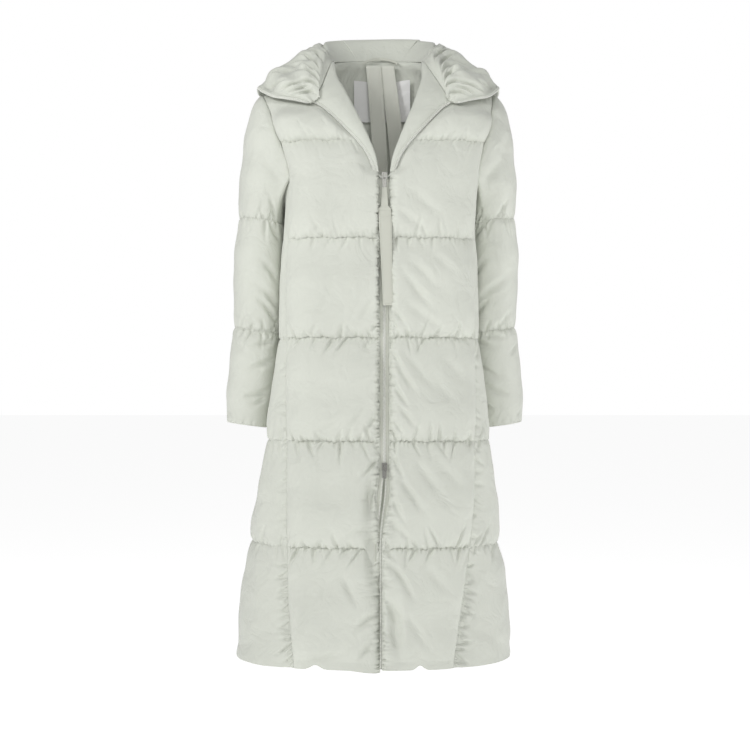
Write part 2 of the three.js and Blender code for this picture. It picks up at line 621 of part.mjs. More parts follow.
function lapel() {
  const rolls = [LAPEL[0].roll, ...BODICE_ROWS.slice(1)];
  const layer = (lift) => rolls.map((roll) => LAPEL_SHARES.map((t) => lapelPoint(roll, t, lift)));
  addPair("lapel", layer(LAPEL_WALL), layer(0), { sides: ["top"], finish: "lining" });
}
lapel();

// Hood: a smooth curve through six points of each section, with a few folds that fan out on the side
const neckAngle = (s) => ((s - HOOD_CORNER) / (1 - HOOD_CORNER)) * (Math.PI / 2);
function hoodStart(s) {
  if (s <= HOOD_CORNER)
    return lapelPoint(1, 1 - s / HOOD_CORNER, LAPEL_WALL).add(point(HOOD_CLEAR, HOOD_CLEAR, HOOD_CLEAR));
  const start = backTop(NECK_SIDE.x * Math.cos(neckAngle(s)));
  return start.add(point(0, 0, SEAM_GAP + (LAPEL_WALL * (1 - s)) / (1 - HOOD_CORNER)));
}
function acrossTheBack(table) {
  const beside = table[table.length - 2];
  return [...table, { ...beside, s: 2 - beside.s, x: -beside.x }];
}
function hoodSections(shares) {
  const curves = shares.map((s) => {
    const through = [HOOD_ROLL, HOOD_DROP, HOOD_POUCH, HOOD_RISE, HOOD_EDGE].map(acrossTheBack);
    return new THREE.CatmullRomCurve3(
      [hoodStart(s), ...through.map((table) => readPoint(table, "s", s))],
      false,
      "centripetal",
    );
  });
  return steps(HOOD_STEPS).map((t) => curves.map((curve) => curve.getPoint(t)));
}
function hood() {
  const sideShares = [
    ...LAPEL_SHARES.map((t) => HOOD_CORNER * (1 - t)).reverse(),
    ...steps(HOOD_SIDE_SPANS).slice(1).map((t) => lerp(HOOD_CORNER, HOOD_SEAM, t)),
  ];
  const middleShares = steps(HOOD_CENTRE_SPANS).map((t) => lerp(HOOD_SEAM, 1, t)).slice(1);
  const shares = [...sideShares, ...middleShares];
  const grid = hoodSections(shares);
  const normals = normalsOf(grid, false).map((row) => row.map((n) => n.negate()));
  for (const row of normals) row[row.length - 1].setX(0).normalize();
  shares.forEach((s, j) => {
    if (s <= HOOD_CORNER) normals[0][j] = lapelOut(1, 1 - s / HOOD_CORNER);
  });
  const outer = grid.map((row, i) =>
    row.map((p, j) => {
      const fan = Math.sin(Math.PI * clamp01(shares[j] / HOOD_FOLDED_TO));
      const fold = Math.sin(2 * Math.PI * HOOD_FOLDS * (i / HOOD_STEPS)) * HOOD_FOLD_HEIGHT * fan;
      return p.clone().addScaledVector(normals[i][j], i > 1 && i < HOOD_STEPS ? fold : 0);
    }),
  );
  const inner = moved(outer, normals, () => -WALL);
  const cut = (layer, from, to) => layer.map((row) => row.slice(from, to));
  addPair("hood_side", cut(outer, 0, sideShares.length), cut(inner, 0, sideShares.length), {
    sides: ["bottom", "finish"],
    finish: "lining",
  });
  const middle = (layer) => wholeBack(cut(layer, sideShares.length - 1, shares.length));
  addWall("hood_centre", middle(outer), middle(inner), {
    sides: ["bottom", "start", "finish"],
    finish: "lining",
  });
}
hood();

// Strips of cloth: a grid on one face, and the other face behind it
function addStrip(name, grid, wall, finish) {
  const behind = grid.map((row) => row.map((p) => p.clone().add(point(0, wall, 0))));
  addWall(name, grid, behind, { finish });
}

// Zip tapes, from the hem to just over the upper slider
const TAPE_DEPTH = 0.5; // how far the tapes lie behind the panels' outside
function zipTapes() {
  const risers = RISER_ROWS.map((r) => lerp(STITCH_Z[CHEST_LINE], UPPER_SLIDER_Z, r));
  const heights = [...lowRows.map(({ z }) => z), ...risers, UPPER_SLIDER_Z - 5];
  const tape = heights.map((z) =>
    [SEAM_GAP / 2, ZIP_HALF / 2, ZIP_HALF - SEAM_GAP].map((x) =>
      frontAt(x + zipEdge(z) - ZIP_HALF, z).add(point(0, TAPE_DEPTH, 0)),
    ),
  );
  addStrip("zip_tape_l", tape, TAPE_WALL, "tape");
  addStrip("zip_tape_r", mirrored(tape), TAPE_WALL, "tape");
}
zipTapes();

// Inside the neck: a hanging loop on the back's inside, and straps that hang straight down from it
const backLining = innerOf(back);
function crossing(points, key, value) {
  let i = 0;
  while (i < points.length - 2 && (value - points[i + 1][key]) * (value - points[i][key]) > 0) i += 1;
  const t = (value - points[i][key]) / (points[i + 1][key] - points[i][key]);
  return points[i].clone().lerp(points[i + 1], t);
}
const insideNeck = (x, clear) => crossing(backLining[topRow], "x", Math.abs(x)).add(point(0, -clear, 0));
const insideBack = (x, z) => {
  const column = backLining.slice(bodiceStart).map((row) => crossing(row, "x", Math.abs(x)));
  return crossing(column, "z", z).setX(x);
};
function hangingLoop() {
  const rows = steps(LOOP.steps).map((t) => {
    const p = insideNeck(lerp(LOOP.from, LOOP.to, t), LOOP.clear + LOOP.wall);
    p.z += LOOP.rise * Math.sin(Math.PI * t) ** 0.6 - LOOP.drop;
    p.x = lerp(LOOP.from, LOOP.to, t);
    return [-0.5, 0.5].map((side) => p.clone().add(point(0, 0, side * LOOP.width)));
  });
  addStrip("hanger_loop", rows, LOOP.wall, "lining");
}
hangingLoop();
function carryingStrap({ name, topX, lowX, clear, lowZ }) {
  const rows = steps(STRAP.rows).map((t) =>
    [-0.5, -0.17, 0.17, 0.5].map((across) => {
      const x = lerp(topX, lowX, t) + across * STRAP.width;
      const topZ = insideNeck(x, 0).z - STRAP.drop;
      const top = insideBack(x, topZ);
      return point(x, top.y - clear - STRAP.wall, lerp(topZ, lowZ, t));
    }),
  );
  addStrip(name, rows, STRAP.wall, "lining");
}
STRAPS.forEach(carryingStrap);
function neckLabel() {
  const rows = steps(4).map((t) =>
    steps(4).map((across) => {
      const x = lerp(LABEL.left, LABEL.right, across);
      const place = insideBack(x, lerp(LABEL.bottom, LABEL.top, t));
      return place.add(point(0, -LABEL.wall - lerp(LABEL.clear, LABEL.stitched, t ** 4), 0));
    }),
  );
  addStrip("neck_label", rows, LABEL.wall, "label");
}
neckLabel();

// Sliders: a plate with a crown over which the pull tab's eye is looped
function solidOf(geometry) {
  for (const name of ["normal", "uv"]) geometry.deleteAttribute(name);
  const merged = mergeVertices(geometry, 1e-4);
  return new wasm.Manifold(
    new wasm.Mesh({
      numProp: 3,
      vertProperties: new Float32Array(merged.getAttribute("position").array),
      triVerts: new Uint32Array(merged.index.array),
    }),
  );
}
function geometryOf(solid) {
  const mesh = solid.getMesh();
  const geometry = new THREE.BufferGeometry();
  geometry.setAttribute("position", new THREE.Float32BufferAttribute(mesh.vertProperties, 3));
  geometry.setIndex(Array.from(mesh.triVerts));
  return geometry;
}
const sliderFace = (z) => -read(RINGS, "z", z).front - SLIDER.clear - SLIDER.plate;
function addSlider(name, z) {
  const face = sliderFace(z);
  const plate = new THREE.BoxGeometry(SLIDER.width, SLIDER.plate, SLIDER.height);
  plate.translate(0, face + SLIDER.plate / 2, z);
  const [h, w] = [CROWN.height / 2, CROWN.windowHeight / 2];
  const sunk = 0.5; // how deep the crown's feet go into the plate
  const arch = new THREE.Shape(
    [
      [-sunk, -h],
      [CROWN.reach, -h + 1],
      [CROWN.reach, h - 1],
      [-sunk, h],
      [-sunk, w],
      [CROWN.windowReach, w],
      [CROWN.windowReach, -w],
      [-sunk, -w],
    ].map(([out, up]) => new THREE.Vector2(out, up)),
  );
  const crown = new THREE.ExtrudeGeometry(arch, { depth: CROWN.width, bevelEnabled: false });
  crown.translate(0, 0, -CROWN.width / 2);
  crown.applyMatrix4(new THREE.Matrix4().makeBasis(point(0, -1, 0), point(0, 0, 1), point(-1, 0, 0)));
  crown.translate(0, face, z);
  addPiece(name, geometryOf(solidOf(plate).add(solidOf(crown))), "metal");
}
addSlider("upper_slider", UPPER_SLIDER_Z);
addSlider("lower_slider", LOWER_SLIDER_Z);

// Pull tab: hangs by its eye, whose top lies in the crown's window above the crown's lower leg
function addTab(name, sliderZ) {
  const windowFoot = sliderZ - CROWN.windowHeight / 2;
  const holeTop = windowFoot + TAB.play;
  const top = holeTop + TAB.eye;
  const outline = new THREE.Shape();
  const [half, foot, corner] = [TAB.width / 2, top - TAB.length, TAB.corner];
  outline.moveTo(-half, top);
  outline.lineTo(-half, foot + corner);
  outline.quadraticCurveTo(-half, foot, -half + corner, foot);
  outline.lineTo(half - corner, foot);
  outline.quadraticCurveTo(half, foot, half, foot + corner);
  outline.lineTo(half, top);
  outline.closePath();
  const eye = new THREE.Path();
  const hole = TAB.holeWidth / 2;
  eye.moveTo(-hole, holeTop);
  eye.lineTo(hole, holeTop);
  eye.lineTo(hole, holeTop - TAB.holeLength);
  eye.lineTo(-hole, holeTop - TAB.holeLength);
  eye.closePath();
  outline.holes.push(eye);
  const tab = new THREE.ExtrudeGeometry(outline, { depth: TAB.thick, bevelEnabled: false, curveSegments: 4 });
  tab.rotateX(Math.PI / 2);
  const middle = sliderFace(sliderZ) - CROWN.windowReach / 2;
  tab.translate(0, middle + TAB.thick / 2, 0);
  addPiece(name, geometryOf(solidOf(tab)), "metal");
}
addTab("upper_pull", UPPER_SLIDER_Z);
addTab("lower_pull", LOWER_SLIDER_Z);

// Ribbon on the upper pull tab, over the filled edges of both fronts
function pullRibbon() {
  const heights = [...RIBBON.slice(0, 4).map(({ z }) => z), -330, -356, -388, -420, -448, -476];
  const rows = heights.map((z) => {
    const { half, lean, proud } = read(RIBBON, "z", z);
    const y = -read(RINGS, "z", z).front - proud;
    return [-1, 0, 1].map((across) => point(lean + across * half, y, z));
  });
  addStrip("pull_ribbon", rows, RIBBON_WALL, "lining");
}
pullRibbon();

export default coat;
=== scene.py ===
"""A long hooded down coat, worn and hollow, dressed with cloth, quilting, zip and trimmings.

Sizes are in millimetres, as a pattern cutter writes them, and become metres as a mesh is made.
The front is towards -Y and the wearer's left towards +X.
"""

import bpy
import numpy as np
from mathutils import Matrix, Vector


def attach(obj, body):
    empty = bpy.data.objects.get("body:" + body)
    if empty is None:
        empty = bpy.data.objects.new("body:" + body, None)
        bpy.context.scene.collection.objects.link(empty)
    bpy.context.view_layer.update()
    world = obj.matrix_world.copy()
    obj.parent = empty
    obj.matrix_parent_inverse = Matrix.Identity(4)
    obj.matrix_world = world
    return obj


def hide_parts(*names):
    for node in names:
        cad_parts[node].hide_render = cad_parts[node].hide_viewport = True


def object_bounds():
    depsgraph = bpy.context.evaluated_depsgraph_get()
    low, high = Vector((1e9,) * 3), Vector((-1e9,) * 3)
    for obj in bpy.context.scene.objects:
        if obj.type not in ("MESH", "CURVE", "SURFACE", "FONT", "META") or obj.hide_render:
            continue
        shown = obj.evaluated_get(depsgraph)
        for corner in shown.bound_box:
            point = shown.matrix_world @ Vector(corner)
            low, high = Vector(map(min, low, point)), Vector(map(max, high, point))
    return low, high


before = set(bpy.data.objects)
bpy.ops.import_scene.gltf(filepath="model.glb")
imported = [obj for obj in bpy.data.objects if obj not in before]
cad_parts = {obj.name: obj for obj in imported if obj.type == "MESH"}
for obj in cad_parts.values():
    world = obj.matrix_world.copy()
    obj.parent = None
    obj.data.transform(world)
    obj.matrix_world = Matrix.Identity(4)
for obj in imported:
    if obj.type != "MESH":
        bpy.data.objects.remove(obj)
cad_low, cad_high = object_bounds()

# Studio
# A pale floor well under the hem, a white room and four large soft lamps: the strongest high on the left,
# weaker ones from the right and from in front, and the weakest over the neck.
# The camera stands level in front of the coat's middle, 2.6 m away, as the photograph's did.
MM = 0.001
CAMERA_PLACE = (-5.5, -2600, -598)
CAMERA_LENS = 67.44
FLOOR_DROP = 420
FLOOR_HALF = 30000
ROOM_LIGHT = 0.15
FLOOR_WHITE = 0.9
FLOOR_GLOW = 0.82
LAMPS = {
    "key": {"place": (-2500, -1600, 1400), "size": 1000, "watts": 46, "aim": (0, 0, -450)},
    "fill": {"place": (300, -3000, 300), "size": 1400, "watts": 14, "aim": (0, 0, -500)},
    "rim": {"place": (2600, -250, -200), "size": 1400, "watts": 17, "aim": (0, 0, -550)},
    "neck": {"place": (0, -1700, 1500), "size": 900, "watts": 11, "aim": (0, 60, -150)},
}

camera = bpy.data.objects.new("camera", bpy.data.cameras.new("camera"))
camera.data.lens = CAMERA_LENS
camera.location = np.array(CAMERA_PLACE) * MM
camera.rotation_euler = (np.pi / 2, 0, 0)
bpy.context.scene.collection.objects.link(camera)
bpy.context.scene.camera = camera
bpy.context.scene.view_settings.view_transform = "Standard"


def link_nodes(tree, *pairs):
    """Joins each output to the input beside it."""
    for output, target in pairs:
        tree.links.new(output, target)


def set_inputs(node, **values):
    """Sets a node's inputs; an underline in a key stands for a space."""
    for key, value in values.items():
        node.inputs[key.replace("_", " ")].default_value = value
    return node


def new_node(tree, kind, **values):
    """A new shader node of a kind, with its inputs set."""
    return set_inputs(tree.nodes.new(f"ShaderNode{kind}"), **values)


def new_material(name):
    """A material of one plain shader, with its node tree."""
    material = bpy.data.materials.new(name)
    material.use_nodes = True
    return material, material.node_tree, material.node_tree.nodes["Principled BSDF"]


def white_room():
    """A white world, seen at full strength and giving ROOM_LIGHT of it as light."""
    world = bpy.data.worlds.new("room")
    bpy.context.scene.world = world
    world.use_nodes = True
    tree = world.node_tree
    background = set_inputs(tree.nodes["Background"], Color=(1, 1, 1, 1))
    path = new_node(tree, "LightPath")
    strength = new_node(tree, "MapRange", To_Min=ROOM_LIGHT)
    link_nodes(
        tree,
        (path.outputs["Is Camera Ray"], strength.inputs["Value"]),
        (strength.outputs["Result"], background.inputs["Strength"]),
    )


def aimed_lamp(name, place, size, watts, aim):
    """A square area lamp at a place, turned towards a point of the coat."""
    lamp = bpy.data.objects.new(name, bpy.data.lights.new(name, "AREA"))
    lamp.data.size = size * MM
    lamp.data.energy = watts
    lamp.location = np.array(place) * MM
    towards = Vector((np.array(aim) - np.array(place)).tolist())
    lamp.rotation_euler = towards.to_track_quat("-Z", "Y").to_euler()
    bpy.context.scene.collection.objects.link(lamp)


def pale_floor():
    """A flat square under the coat, nearly as white as the room."""
    height = cad_low.z - FLOOR_DROP * MM
    half = FLOOR_HALF * MM
    mesh = bpy.data.meshes.new("floor")
    corners = [(-half, -half, height), (half, -half, height), (half, half, height), (-half, half, height)]
    mesh.from_pydata(corners, [], [(0, 1, 2, 3)])
    material, _, shader = new_material("floor")
    set_inputs(shader, Base_Color=(FLOOR_WHITE, FLOOR_WHITE, FLOOR_WHITE, 1), Roughness=0.9)
    set_inputs(shader, Specular_IOR_Level=0, Emission_Color=(1, 1, 1, 1), Emission_Strength=FLOOR_GLOW)
    mesh.materials.append(material)
    floor = bpy.data.objects.new("floor", mesh)
    bpy.context.scene.collection.objects.link(floor)


white_room()
for lamp_name, lamp in LAMPS.items():
    aimed_lamp(lamp_name, **lamp)
pale_floor()

# Shell cloth
# The outside is a fine, closely woven nylon, matte with a slight bloom, in a pale grey green.
# The facing and the hood are the same cloth, a shade darker and a little smoother.
SHELL_COLOUR = (0.626, 0.645, 0.580)
FACING_COLOUR = (0.614, 0.634, 0.568)
THREAD = 0.45
MOTTLE = 0.035
WAVE_A_METRE = 0.314


def woven(name, colour, thread=THREAD, relief=0.05, roughness=0.62, sheen=0.25, crumple=1.2, on_uv=True):
    """Plain weave on the piece's own UV, in metres, or on Object coordinates: warp and weft are sine ribs
    a thread apart. A slow noise lightens and darkens the dye by the share called MOTTLE, and a drawn-out
    one crumples the surface by that many mm."""
    material, tree, shader = new_material(name)
    set_inputs(shader, Roughness=roughness, Specular_IOR_Level=0.28)
    set_inputs(shader, Sheen_Weight=sheen, Sheen_Roughness=0.45)
    place = new_node(tree, "TexCoord")
    directions, weave_on = "XZ", place.outputs["Object"]
    if on_uv:
        cloth = new_node(tree, "UVMap")
        cloth.uv_map = "cloth"
        directions, weave_on = "XY", cloth.outputs["UV"]
    ribs = []
    for direction in directions:
        rib = new_node(tree, "TexWave", Scale=WAVE_A_METRE / (thread * MM), Distortion=0.4)
        rib.wave_type = "BANDS"
        rib.bands_direction = direction
        tree.links.new(weave_on, rib.inputs["Vector"])
        ribs.append(rib)
    weave = new_node(tree, "Math")
    weave.operation = "MAXIMUM"
    bump = new_node(tree, "Bump", Strength=0.35, Distance=relief * MM)
    crumpled = new_node(tree, "TexNoise", Scale=24, Detail=6, Roughness=0.5, Distortion=0.8)
    drawn = new_node(tree, "Bump", Strength=1, Distance=crumple * MM)
    cloud = new_node(tree, "TexNoise", Scale=9, Detail=5)
    dye = new_node(tree, "ValToRGB")
    for end, (position, lightness) in enumerate(((0.3, 1 - MOTTLE), (0.7, 1 + MOTTLE))):
        dye.color_ramp.elements[end].position = position
        dye.color_ramp.elements[end].color = (*(np.array(colour) * lightness), 1)
    link_nodes(
        tree,
        (ribs[0].outputs["Fac"], weave.inputs[0]),
        (ribs[1].outputs["Fac"], weave.inputs[1]),
        (weave.outputs["Value"], bump.inputs["Height"]),
        (place.outputs["Object"], crumpled.inputs["Vector"]),
        (crumpled.outputs["Fac"], drawn.inputs["Height"]),
        (bump.outputs["Normal"], drawn.inputs["Normal"]),
        (drawn.outputs["Normal"], shader.inputs["Normal"]),
        (place.outputs["Object"], cloud.inputs["Vector"]),
        (cloud.outputs["Fac"], dye.inputs["Fac"]),
        (dye.outputs["Color"], shader.inputs["Base Color"]),
    )
    return material


shell = woven("shell_nylon", SHELL_COLOUR, crumple=5)
facing = woven("facing_nylon", FACING_COLOUR, roughness=0.55, sheen=0.3, crumple=4)

# Front panels
# Each front runs from the zip to the seam over the thigh and chest, in six chambers of down that are
# stitched across, and up over the chest to the shoulder. The down lifts it off its stitching.
WALL = 3
SEAM_GAP = 0.3
BODY_PUFF = 14
STITCH_Z = np.array([-1108, -900, -714, -532, -356, -181])
CHEST_LINE = 4
BODICE_Z = -240
BODY_RINGS = {
    "z": [-1108, -900, -714, -532, -356, -240],
    "half": [243, 223, 207, 186, 177, 170],
    "front": [172, 158, 147, 138, 132, 122],
    "back": [158, 144, 130, 118, 112, 106],
    "square": [2.6, 2.7, 3.0, 3.4, 4.2, 5.0],
    "front_seam": [139, 160, 166, 166, 165, 163],
    "back_seam": [150, 160, 158, 152, 150, 150],
    "press": [0, 0, 23, 31, 21, 10],
}
NECK_SIDE = (80, 15, -18)
SHOULDER_TIP = (212, 8, -82)
YOKE_SHARE = 0.4
COVERED_FROM = 0.6
CREASED_TO = 0.66
BESIDE_LAPEL = 0.2
LAPEL_CALM_V = 0.12
ROLL_LINE = {
    "v": [0, 0.2, 0.4, 0.55, 0.7, 0.82, 0.92, 1],
    "x": [8, 14, 26, 38, 53, 66, 77, 80],
    "z": [-252, -214, -180, -150, -116, -84, -54, -18],
}
ZIP_HALF = 8
ZIP_OPENING = 3
ZIP_OPENING_RUN = 60
LOWER_SLIDER_Z = -758
UPPER_SLIDER_Z = -247
LAPEL = {
    "roll": [0.06, 0.35, 0.55, 0.8, 1],
    "across": [0.03, 0.11, 0.23, 0.34, 0.43],
    "up": [0.06, 0.35, 0.55, 0.705, 0.77],
}
LAPEL_TOP = 0.77
CHEST_LEAN = 0.09
ROWS_A_CHAMBER = 100
RISER_ROWS = 56
BODICE_ROWS = 144
FRONT_COLUMNS = 100
FRONT_EVENED_ROWS = 28
FRONT_EVENING_ROUNDS = 120
COLUMN_PULL = 0.3
INSIDE_STEP = 4
HEM_FILL = 0.62
HEM_FILL_RUN = 120
WAVER_REACH = 28
SEAM_DIP = 0.9
SEAM_DIP_WIDTH = 1.3


def lerp(a, b, t):
    """The point a share t of the way from a to b."""
    return a + (b - a) * t


def ease(t):
    """A share that starts and ends gently: 3t² - 2t³, held between 0 and 1."""
    t = np.clip(t, 0, 1)
    return t * t * (3 - 2 * t)


def cubic(t, a, slope_a, b, slope_b):
    """The cubic from a (t 0) to b (t 1) that leaves and arrives with the given slopes."""
    start = (2 * t**3 - 3 * t**2 + 1) * a + (t**3 - 2 * t**2 + t) * slope_a
    return start + (3 * t**2 - 2 * t**3) * b + (t**3 - t**2) * slope_b


def read(table, key, at):
    """Smooth curves through a table's columns: between two rows a cubic whose slope at each row is that of
    the line from the row before to the row after it."""
    order = np.argsort(table[key])
    keys = np.array(table[key], float)[order]
    i = np.clip(np.searchsorted(keys, at) - 1, 0, len(keys) - 2)
    low, high = np.maximum(i - 1, 0), np.minimum(i + 2, len(keys) - 1)
    span = keys[i + 1] - keys[i]
    t = np.clip((at - keys[i]) / span, 0, 1)
    out = {}
    for name in table:
        if name == key:
            continue
        column = np.array(table[name], float)[order]
        a, b = column[i], column[i + 1]
        slope_a = (b - column[low]) / (keys[i + 1] - keys[low]) * span
        slope_b = (column[high] - a) / (keys[high] - keys[i]) * span
        out[name] = cubic(t, a, slope_a, b, slope_b)
    return out


def points(x, y, z):
    """An array of places from three arrays of coordinates."""
    return np.stack(np.broadcast_arrays(x, y, z), axis=-1).astype(float)


def chamber(f):
    """Height of the down from one stitching line (f 0) to the next (f 1): (1 - |2g - 1|^2.5)^0.72, where
    g is f^0.8, because the down settles towards the lower line."""
    g = np.clip(f, 0, 1) ** 0.8
    return (1 - np.abs(2 * g - 1) ** 2.5) ** 0.72


def hanging(z):
    """Height that the down keeps as it nears the hem, where no stitching draws it in."""
    return HEM_FILL * (1 - ease((z - STITCH_Z[0]) / HEM_FILL_RUN))


def waver(random, across, z, lines):
    """Rise and fall of the stitching lines, a sum of sines that dies away 28 mm from each."""
    nearest = np.min([np.abs(z - line) for line in lines], axis=0)
    wave = ripple(random, across, [(8.5, 0.45), (14, 0.5), (31, 0.7), (67, 0.8)])
    return wave * np.exp(-((nearest / WAVER_REACH) ** 2))


def swell(distance, margin, run):
    """A quarter circle that leaves the stitched edge at the margin and is full after the run."""
    return np.sqrt(1 - (1 - np.clip((distance - margin) / run, 0, 1)) ** 2)


def ring_depth(x, ring, depth):
    """Depth of a superellipse at x: depth · (1 - (x / half)^n)^(1/n)."""
    n = ring["square"]
    return depth * (1 - np.clip(x / ring["half"], 0, 1) ** n) ** (1 / n)


def front_at(x, z):
    """The front of the body's ring at a height."""
    ring = read(BODY_RINGS, "z", z)
    return points(x, -ring_depth(x, ring, ring["front"]), z)


def zip_edge(z):
    """Half width of the zip: the fronts draw back a little under the lower slider."""
    return ZIP_HALF + ZIP_OPENING * ease((LOWER_SLIDER_Z - z) / ZIP_OPENING_RUN)


def turn_in(v):
    """How far the chest has turned in towards the shoulder: 1 - sqrt(1 - v²), and lean · v · (1 - v)² so
    that it starts with the body's own slope."""
    return 1 - np.sqrt(1 - np.clip(v, 0, 1) ** 2) + CHEST_LEAN * v * (1 - v) ** 2


def bodice_z(v, top):
    """Heights between the armhole's foot, the top stitching line and the shoulder seam."""
    line = STITCH_Z[CHEST_LINE + 1]
    low = lerp(BODICE_Z, line, v / YOKE_SHARE)
    high = lerp(line, top, (v - YOKE_SHARE) / (1 - YOKE_SHARE))
    return np.where(v <= YOKE_SHARE, low, high)


def front_bodice(u, v):
    """Chest, from the roll line (u 0) to the armhole (u 1) and from the armhole's foot (v 0) to the
    shoulder seam (v 1): straight in plan, turning in as a quarter circle."""
    roll = read(ROLL_LINE, "v", v)
    ring = read(BODY_RINGS, "z", float(BODICE_Z))
    x = lerp(roll["x"], lerp(ring["front_seam"], SHOULDER_TIP[0], v), u)
    low = -ring_depth(lerp(ZIP_HALF, ring["front_seam"], u), ring, ring["front"])
    top = lerp(NECK_SIDE[1], SHOULDER_TIP[1], u)
    return points(x, lerp(low, top, turn_in(v)), lerp(roll["z"], bodice_z(v, SHOULDER_TIP[2]), u))


def sway(p, sign=1):
    """A side of the coat, 1 left and -1 right, as it hangs: the zip swings up to 11 mm to the wearer's
    left and less at the hem, the front's seams 5 mm and the other way at the hem, the back 4 mm, and the
    sides 7 mm to the right."""
    p = p * np.array([sign, 1, 1])
    z = p[..., 2]
    down = ease((z + 100) / -500)
    at_zip = lerp(11, 5, ease((z - LOWER_SLIDER_Z) / -120))
    low = lerp(-8, 5, ease((z - STITCH_Z[0]) / 350))
    at_seam = lerp(low, 11, ease((z - STITCH_Z[CHEST_LINE]) / (BODICE_Z - STITCH_Z[CHEST_LINE])))
    front = lerp(at_zip, at_seam, ease(np.abs(p[..., 0]) / 150))
    behind = lerp(-7 * down, 4 * (1 - down), ease(p[..., 1] / 100))
    moved = p.copy()
    moved[..., 0] += lerp(behind, front, ease(-p[..., 1] / 120))
    return moved


def unit(v):
    """Vectors of length one."""
    return v / np.maximum(np.linalg.norm(v, axis=-1, keepdims=True), 1e-9)


def grid_normals(grid, loop=False):
    """Normals of a grid: its step across times its step up, each taken between a point's neighbours."""
    across = np.gradient(grid, axis=1)
    if loop:
        across = (np.roll(grid, -1, axis=1) - np.roll(grid, 1, axis=1)) / 2
    return unit(np.cross(across, np.gradient(grid, axis=0)))


def from_first(grid):
    """Distance of each point of a grid from its row's first point."""
    steps = np.linalg.norm(np.diff(grid, axis=1), axis=-1)
    return np.concatenate([np.zeros((len(grid), 1)), np.cumsum(steps, axis=1)], axis=1)


def travelled(line):
    """Distance along a line of points, from its start."""
    return np.concatenate([[0], np.cumsum(np.linalg.norm(np.diff(line, axis=0), axis=1))])


def furrows(across, up, rows):
    """Creases pressed into cloth. A row runs from (a0, z0) to (a1, z1); at q widths from that line it is
    deep · (1 + 1.1q) · exp(-q²), steeper on one side, strongest at the share peak of its length and
    nothing at its ends."""
    pressed = np.zeros(np.broadcast(across, up).shape)
    for a0, z0, a1, z1, wide, deep, peak in rows:
        run = np.array([a1 - a0, z1 - z0], float)
        length = np.hypot(*run)
        da, dz = across - a0, up - z0
        t = (da * run[0] + dz * run[1]) / length**2
        q = (da * run[1] - dz * run[0]) / length / wide
        inside = np.clip(t, 0, 1)
        rise = np.clip(inside / max(peak, 1e-3), 0, 1)
        fall = np.clip((1 - inside) / max(1 - peak, 1e-3), 0, 1)
        profile = (1 + 1.1 * q) * np.exp(-(q**2))
        pressed -= deep * ease(np.minimum(rise, fall)) * profile * (t >= 0) * (t <= 1)
    return pressed


def puckers(random, start, end, spacing, length, slant, wide, deep, side):
    """Rows for furrows() that stand on a seam from start to end: a pucker every `spacing`, each of its own
    length, slant, width and depth within the given ranges, to one side of the seam (1 or -1)."""
    start, end = np.array(start, float), np.array(end, float)
    whole = np.hypot(*(end - start))
    along = (end - start) / whole
    away = np.array([-along[1], along[0]]) * side
    rows = []
    at = random.uniform(*spacing) / 2
    while at < whole:
        foot = start + along * at - away * 1.5
        reach = random.uniform(*length)
        tip = foot + away * reach + along * reach * random.uniform(*slant)
        rows.append((*foot, *tip, random.uniform(*wide), random.uniform(*deep), 0.12))
        at += random.uniform(*spacing)
    return rows


def ripple(random, place, waves):
    """A sum of sines along one axis, with seeded phases: each wave is (length, height)."""
    total = 0
    for length, height in waves:
        total = total + height * np.sin(2 * np.pi * place / length + random.uniform(0, 2 * np.pi))
    return total


def clustered(count, pull=0.35):
    """Shares from 0 up to 1, closer together at both ends: t - pull · sin(2πt) / 2π."""
    t = np.arange(count) / count
    return t - pull * np.sin(2 * np.pi * t) / (2 * np.pi)


def mesh_of(name, places, faces, cloth):
    """A smooth mesh from an array of places in mm, arrays of faces grouped by their corner count, and the
    cloth's own coordinates in mm. Faces are turned round if their volume comes out negative."""
    volume = 0
    for group in faces:
        a = places[group[:, 0]]
        for k in range(1, group.shape[1] - 1):
            volume += np.einsum("ij,ij->", a, np.cross(places[group[:, k]], places[group[:, k + 1]]))
    if volume < 0:
        faces = [group[:, ::-1] for group in faces]
    corners = np.concatenate([group.ravel() for group in faces]).astype(np.int32)
    sizes = np.concatenate([np.full(len(group), group.shape[1]) for group in faces])
    starts = np.concatenate([[0], np.cumsum(sizes)[:-1]]).astype(np.int32)
    mesh = bpy.data.meshes.new(name)
    mesh.vertices.add(len(places))
    mesh.loops.add(len(corners))
    mesh.polygons.add(len(sizes))
    mesh.vertices.foreach_set("co", (places * MM).astype(np.float32).ravel())
    mesh.loops.foreach_set("vertex_index", corners)
    mesh.polygons.foreach_set("loop_start", starts)
    mesh.polygons.foreach_set("use_smooth", np.ones(len(sizes), bool))
    layer = mesh.uv_layers.new(name="cloth")
    layer.data.foreach_set("uv", (cloth[corners] * MM).astype(np.float32).ravel())
    mesh.update(calc_edges=True)
    mesh.validate()
    return mesh


